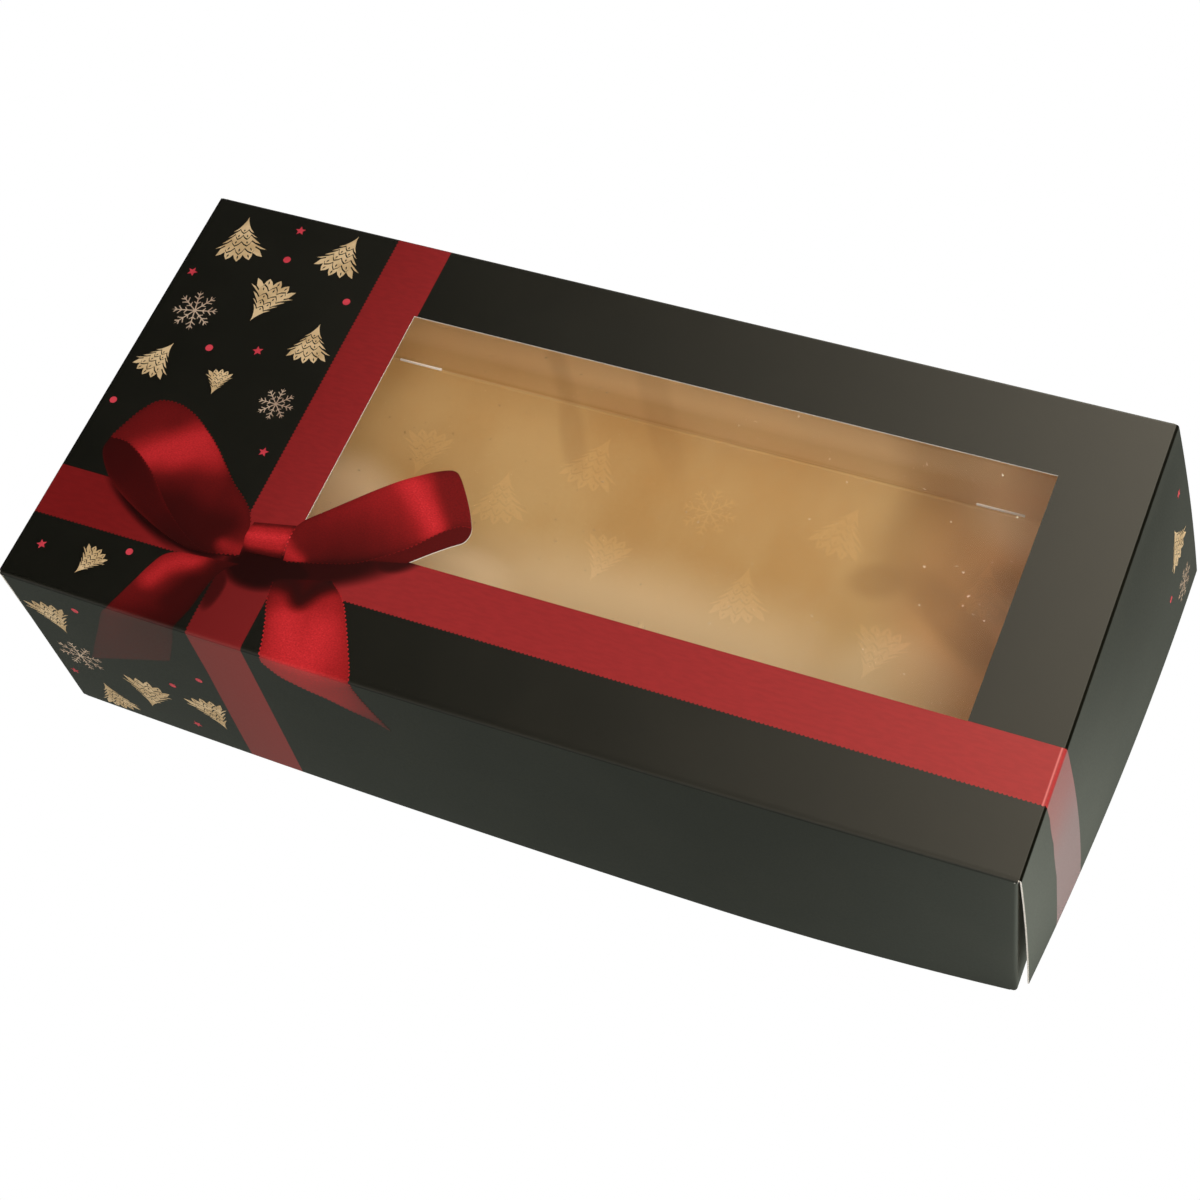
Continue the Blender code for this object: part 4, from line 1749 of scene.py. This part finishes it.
@dataclass
class MotifPrint:
    """The small motifs over the box's left part and its ends."""

    carton: Carton
    tray: Tray
    inks: Sequence[bpy.types.Material]
    flap_cut_step: float = 4.0
    flap_cuts: int = 18
    ghost_margin: float = 8.0
    lid: Layout = Layout(
        firs=((16, 142, 19.5, 14), (53, 145, 18.5, -8), (36, 121, 18.5, 172), (58.5, 109, 16.5, 6),
            (11, 89, 15.5, -16), (35, 86.5, 10.5, 186), (27, 12.5, 11.5, 158)),
        flakes=((14, 110.5, 16.5, 12), (58, 84, 13, 0)),
        stars=((34, 151, 3.8, 10), (5.5, 125, 3.8, -12), (42.5, 101.5, 3.8, 20), (62.5, 66, 3.6, 0),
            (9, 13.5, 3.6, 25)),
        dots=((35, 138.5, 2.6), (62.5, 128, 2.6), (26, 98, 2.6), (4.5, 70, 2.5), (38, 19.5, 2.4)),
    )
    wall: Layout = Layout(
        firs=((13, -21, 19, 190), (36, -58, 20, 168), (17.5, -70.5, 17, 12), (61, -56, 19, 196)),
        flakes=((13.5, -45.5, 18, 8),),
        stars=((5.5, -60, 3.6, 0), (50.5, -69.5, 3.6, 30)),
        dots=((25, -10.5, 2.5), (49.5, -44, 2.5), (63, -33, 2.5)),
    )
    right_flap: Layout = Layout(
        firs=((141, -40, 18, 8),),
        flakes=((143.5, -65, 14, 0),),
        stars=((148, -22.5, 3.6, 0),),
        dots=((130, -55, 2.5),),
    )
    ghosts: Layout = Layout(
        firs=((74, 126, 21, 184), (108, 116, 23, 10), (134, 139, 24, -6), (152, 104, 20, 176),
            (202, 104, 23, 8), (226, 138, 23, -10), (252, 97, 22, 174), (278, 130, 22, 12), (174, 76, 18, 0)),
        flakes=((180, 132, 21, 0),),
    )
    left_flap: Layout = Layout(
        firs=((16, -18, 14.5, 8), (14.5, -52, 13.5, 176), (60, -20, 15, -10), (52, -55, 14, 184),
            (93, -28, 14.5, 6), (144, -40, 14, -8)),
        flakes=((38, -30, 14.5, 0), (78, -60, 13, 10)),
        stars=((30, -60, 3.5, 0), (72, -42, 3.5, 12), (104, -52, 3.5, 0)),
        dots=((48, -10, 2.3), (27, -44, 2.3), (80, -12, 2.3), (97, -66, 2.3)),
    )
    back: Layout = Layout(
        firs=((12, -22, 14.5, 10), (40, -34, 14.5, 176), (58, -60, 13.5, -6)),
        flakes=((16, -58, 14.5, 0),),
        stars=((28, -14, 3.5, 0), (60, -24, 3.5, 14)),
        dots=((22, -40, 2.3), (36, -66, 2.3)),
    )

    def build(self, flaps: Sequence[EndFlap], ghost: bpy.types.Material) -> None:
        """Print the motifs on every panel that has them, and their faint marks on the gold base.

        Args:
            flaps: The left and the right end flap.
            ghost: The faint marks' material.
        """
        carton = self.carton
        length, depth = 2 * carton.half_length / MM, (carton.lid_back - carton.front) / MM
        top, rise = carton.top / MM, carton.rim_top / MM
        panels = [
            ("lid", self.lid, (1.0, 2.0), (length, depth - 1.0), carton.print_place, (), Body.LID),
            ("near_wall", self.wall, (2.5, 2.0 - top), (length, -2.0), carton.print_place, (), Body.TRAY),
        ]
        for flap, layout in zip(flaps, (self.left_flap, self.right_flap)):
            low, high = (3.0, 2.0 - flap.length / MM), (depth - 1.0, -2.0)
            cuts = [-self.flap_cut_step * i for i in range(1, self.flap_cuts + 1)]
            panels.append((f"{flap.name}_flap", layout, low, high, flap.print_place, cuts, flap.body))
        low, high = (3.0, 3.0 - rise), (length, -2.0)
        panels.append(("far_wall", self.back, low, high, self._back_place, (), Body.TRAY))
        for name, layout, low, high, place, bends, body in panels:
            ride(self._layer(f"{name}_motifs", layout, low, high).bend(place, self.inks, bends), body)
        margin = self.ghost_margin
        marks = self._layer("base_ghost_motifs", self.ghosts, (margin, margin), (length - margin, depth))
        floor = carton.board - carton.top
        made = marks.bend(lambda point, lift: carton.print_place(point, floor + lift), [ghost] * len(self.inks))
        ride(made, Body.TRAY, slot=Slot.GOLD)

    def _back_place(self, point: Flat, lift: float) -> Vector:
        """A place of the far wall's print, in millimetres along the box and up from the rim."""
        x = point[0] * MM - self.carton.half_length
        return self.tray.far_wall(x, self.carton.rim_top + point[1] * MM, self.carton.board / 2 + lift)

    @staticmethod
    def _layer(name: str, layout: Layout, low: Flat, high: Flat) -> PrintLayer:
        """Press a layout into a layer and cut it off at the panel's folds.

        Args:
            name: The layer's name.
            layout: The layout.
            low: The panel's lowest corner.
            high: Its highest corner.

        Returns:
            The layer.
        """
        layer = PrintLayer(name)
        layout.press(layer)
        for axis in (0, 1):
            layer.cut(axis, low[axis], keep=-1)
            layer.cut(axis, high[axis], keep=1)
        return layer


# Studio


@dataclass
class Studio:
    """The floor, the light and the camera."""

    camera_place: Triple = (239.6, -336.3, 675.4)
    camera_turn: Triple = (31.12, 8.246, 22.411)
    lens: float = 71.03
    sensor: float = 36.0
    room_light: float = 0.3
    lamp_place: Triple = (0.72, -0.62, 1.35)
    lamp_size: float = 0.8
    lamp_power: float = 23.5
    card_dark: float = -330.0
    card_span: float = 550.0
    card_power: float = 3.0
    card_curve: float = 3.0
    card_most: float = 1.4
    card_slant: float = 0.35
    card_spot: Blot = Blot((110.0, 300.0), 0.0, (160.0, 160.0))
    card_full: float = 10.0
    front_glow: float = 1.2
    high_tint: Triple = (1.0, 0.9, 0.72)
    low_tint: Triple = (0.92, 1.0, 0.84)

    def build(self) -> None:
        """Make all of the studio."""
        self._build_camera()
        self._build_floor()
        self._build_world()
        self._build_cards()
        self._build_lamp()
        bpy.context.scene.view_settings.view_transform = "Standard"

    @staticmethod
    def _add(name: str, data: bpy.types.ID, place: Sequence[float], turn: Sequence[float]) -> bpy.types.Object:
        """Add the camera or a lamp at a place.

        Args:
            name: Its name.
            data: Its data.
            place: Its place.
            turn: Its turn, in radians.

        Returns:
            The object.
        """
        made = bpy.data.objects.new(name, data)
        made.location, made.rotation_euler = place, turn
        bpy.context.scene.collection.objects.link(made)
        return made

    def _build_camera(self) -> None:
        """Place the camera as the photograph's."""
        data = bpy.data.cameras.new("camera")
        data.lens, data.sensor_width = self.lens, self.sensor
        data.clip_start, data.clip_end = 0.01, 50.0
        turn = [math.radians(angle) for angle in self.camera_turn]
        bpy.context.scene.camera = self._add("camera", data, Vector(self.camera_place) * MM, turn)

    @staticmethod
    def _seen(shade: Shade) -> Term:
        """A mask of the rays that show the background itself.

        Args:
            shade: The tree.

        Returns:
            The mask.
        """
        path = shade.node("ShaderNodeLightPath")
        rays = [Term(shade, path.outputs[f"Is {kind} Ray"]) for kind in ("Camera", "Glossy", "Transmission")]
        return rays[0].most(rays[1]).most(rays[2])

    def _build_floor(self) -> None:
        """Make the pale floor, which shows as white."""
        shade = Shade("floor")
        pale = shade.term("ShaderNodeBsdfDiffuse", sockets={"Color": (0.8, 0.8, 0.8, 1.0)})
        white = shade.term("ShaderNodeEmission", sockets={"Strength": 1.0})
        shown = shade.term("ShaderNodeMixShader", sockets={0: self._seen(shade), 1: pale, 2: white})
        shade.node("ShaderNodeOutputMaterial", sockets={0: shown})
        self._plate("floor", shade.owner, (0.0, 0.0, -0.2 * MM), (8.0, 8.0))

    def _build_world(self) -> None:
        """Make the even light of the room, which shows as white."""
        shade = Shade("studio", world=True)
        bpy.context.scene.world = shade.owner
        seen = self._seen(shade)
        strength = seen + (1 - seen) * self.room_light
        sky = shade.term("ShaderNodeBackground", sockets={"Color": (1.0, 1.0, 1.0, 1.0), "Strength": strength})
        shade.node("ShaderNodeOutputWorld", sockets={0: sky})

    def _build_cards(self) -> None:
        """Hang the card that the lid mirrors and lay the one that the near wall mirrors."""
        high = Shade("high_card")
        x, y, _ = high.place()
        slope = (x + self.card_slant * y.most(100.0) - self.card_dark) / self.card_span
        glow = self.card_power * slope.most(0.0).least(self.card_most) ** self.card_curve
        glow = glow * (1 + 0.3 * self.card_spot.mask(x, y))
        glow = glow.most(y.rise(-100.0, -900.0, 0.0, self.front_glow))
        self._hang_card("high_card", high, glow, self.high_tint, (0.0, 0.0, 0.6), (5.0, 5.0))
        low = Shade("low_card")
        x, y, _ = low.place()
        flap_side = x.rise(150.0, 190.0) * y.rise(100.0, -100.0)
        glow = flap_side.rise(0.0, 1.0, 0.4, 0.95) * y.rise(-90.0, -80.0, 0.85, 1.0)
        glow = glow * (1 + 0.6 * x.rise(60.0, 170.0) * y.rise(-80.0, -90.0))
        self._hang_card("low_card", low, glow, self.low_tint, (0.0, 0.0, -0.1 * MM), (2.0, 2.0))

    def _hang_card(self, name: str, shade: Shade, glow: Term, tint: Triple, place: Triple, size: Flat) -> None:
        """Place a card that only gloss shows.

        Args:
            name: The card's name.
            shade: Its material's tree, without an end yet.
            glow: Its strength, which varies over the card.
            tint: Its colour.
            place: Its middle.
            size: Its width and depth.
        """
        brightest = tuple(self.card_full * part for part in tint)
        colour = shade.mix(glow / self.card_full, (0.0, 0.0, 0.0), brightest)
        lit = shade.term("ShaderNodeEmission", sockets={"Color": colour, "Strength": 1.0})
        shade.node("ShaderNodeOutputMaterial", sockets={0: lit})
        shade.owner.cycles.emission_sampling = "NONE"
        card = self._plate(name, shade.owner, place, size)
        for ray in ("camera", "diffuse", "transmission", "volume_scatter", "shadow"):
            setattr(card, f"visible_{ray}", False)

    @staticmethod
    def _plate(name: str, finish: bpy.types.Material, place: Triple, size: Flat) -> bpy.types.Object:
        """Make a flat plate of the stage.

        Args:
            name: Its name.
            finish: Its material.
            place: Its middle.
            size: Its width and depth.

        Returns:
            The plate.
        """
        plate = bmesh.new()
        spread = Matrix.Translation(place) @ Matrix.Diagonal((*size, 1.0, 1.0))
        bmesh.ops.create_grid(plate, x_segments=1, y_segments=1, size=0.5, matrix=spread)
        return piece_from(name, plate, (finish,))

    def _build_lamp(self) -> None:
        """Hang one wide soft lamp over the box, which its gloss doesn't show."""
        data = bpy.data.lights.new("key", "AREA")
        data.shape, data.size, data.energy = "SQUARE", self.lamp_size, self.lamp_power
        turn = (-Vector(self.lamp_place)).to_track_quat("-Z", "Y").to_euler()
        self._add("key", data, self.lamp_place, turn).visible_glossy = False


def main() -> None:
    """Build the box and the studio."""
    logging.basicConfig(level=logging.INFO, format="%(message)s")
    carton = Carton.from_frame()
    gold = GoldBoard().build(carton.corner)
    stock = Stock(PrintedBoard().build(carton.corner), gold, WhiteCore().build(), carton.board)
    lid = Lid(carton)
    lid.build(stock)
    tray = Tray(carton, stock)
    tray.build()
    flaps = (
        EndFlap(carton, Side.LEFT, (math.radians(1.0), math.radians(3.0))),
        EndFlap(carton, Side.RIGHT, (math.radians(1.5), math.radians(8.0))),
    )
    for flap in flaps:
        flap.build(stock)
    Bow(carton, lid).build(SatinPrint().build())
    inks = [
        MotifInk("gold_ink", (0.72, 0.52, 0.29), (0.52, 0.35, 0.17), 0.1).build(),
        MotifInk("red_ink", (0.62, 0.05, 0.07), (0.46, 0.03, 0.045)).build(),
        MotifInk("snow_ink", (0.56, 0.42, 0.3), (0.4, 0.27, 0.19), 0.1).build(),
    ]
    MotifPrint(carton, tray, inks).build(flaps, GoldBoard("ghost_gold", 1.1).build(carton.corner))
    film = ClearFilm().build()
    for name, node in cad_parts.items():
        node.data.materials.clear()
        node.data.materials.append(film if name == "window_film" else gold)
    Studio().build()


if __name__ == "__main__":
    main()
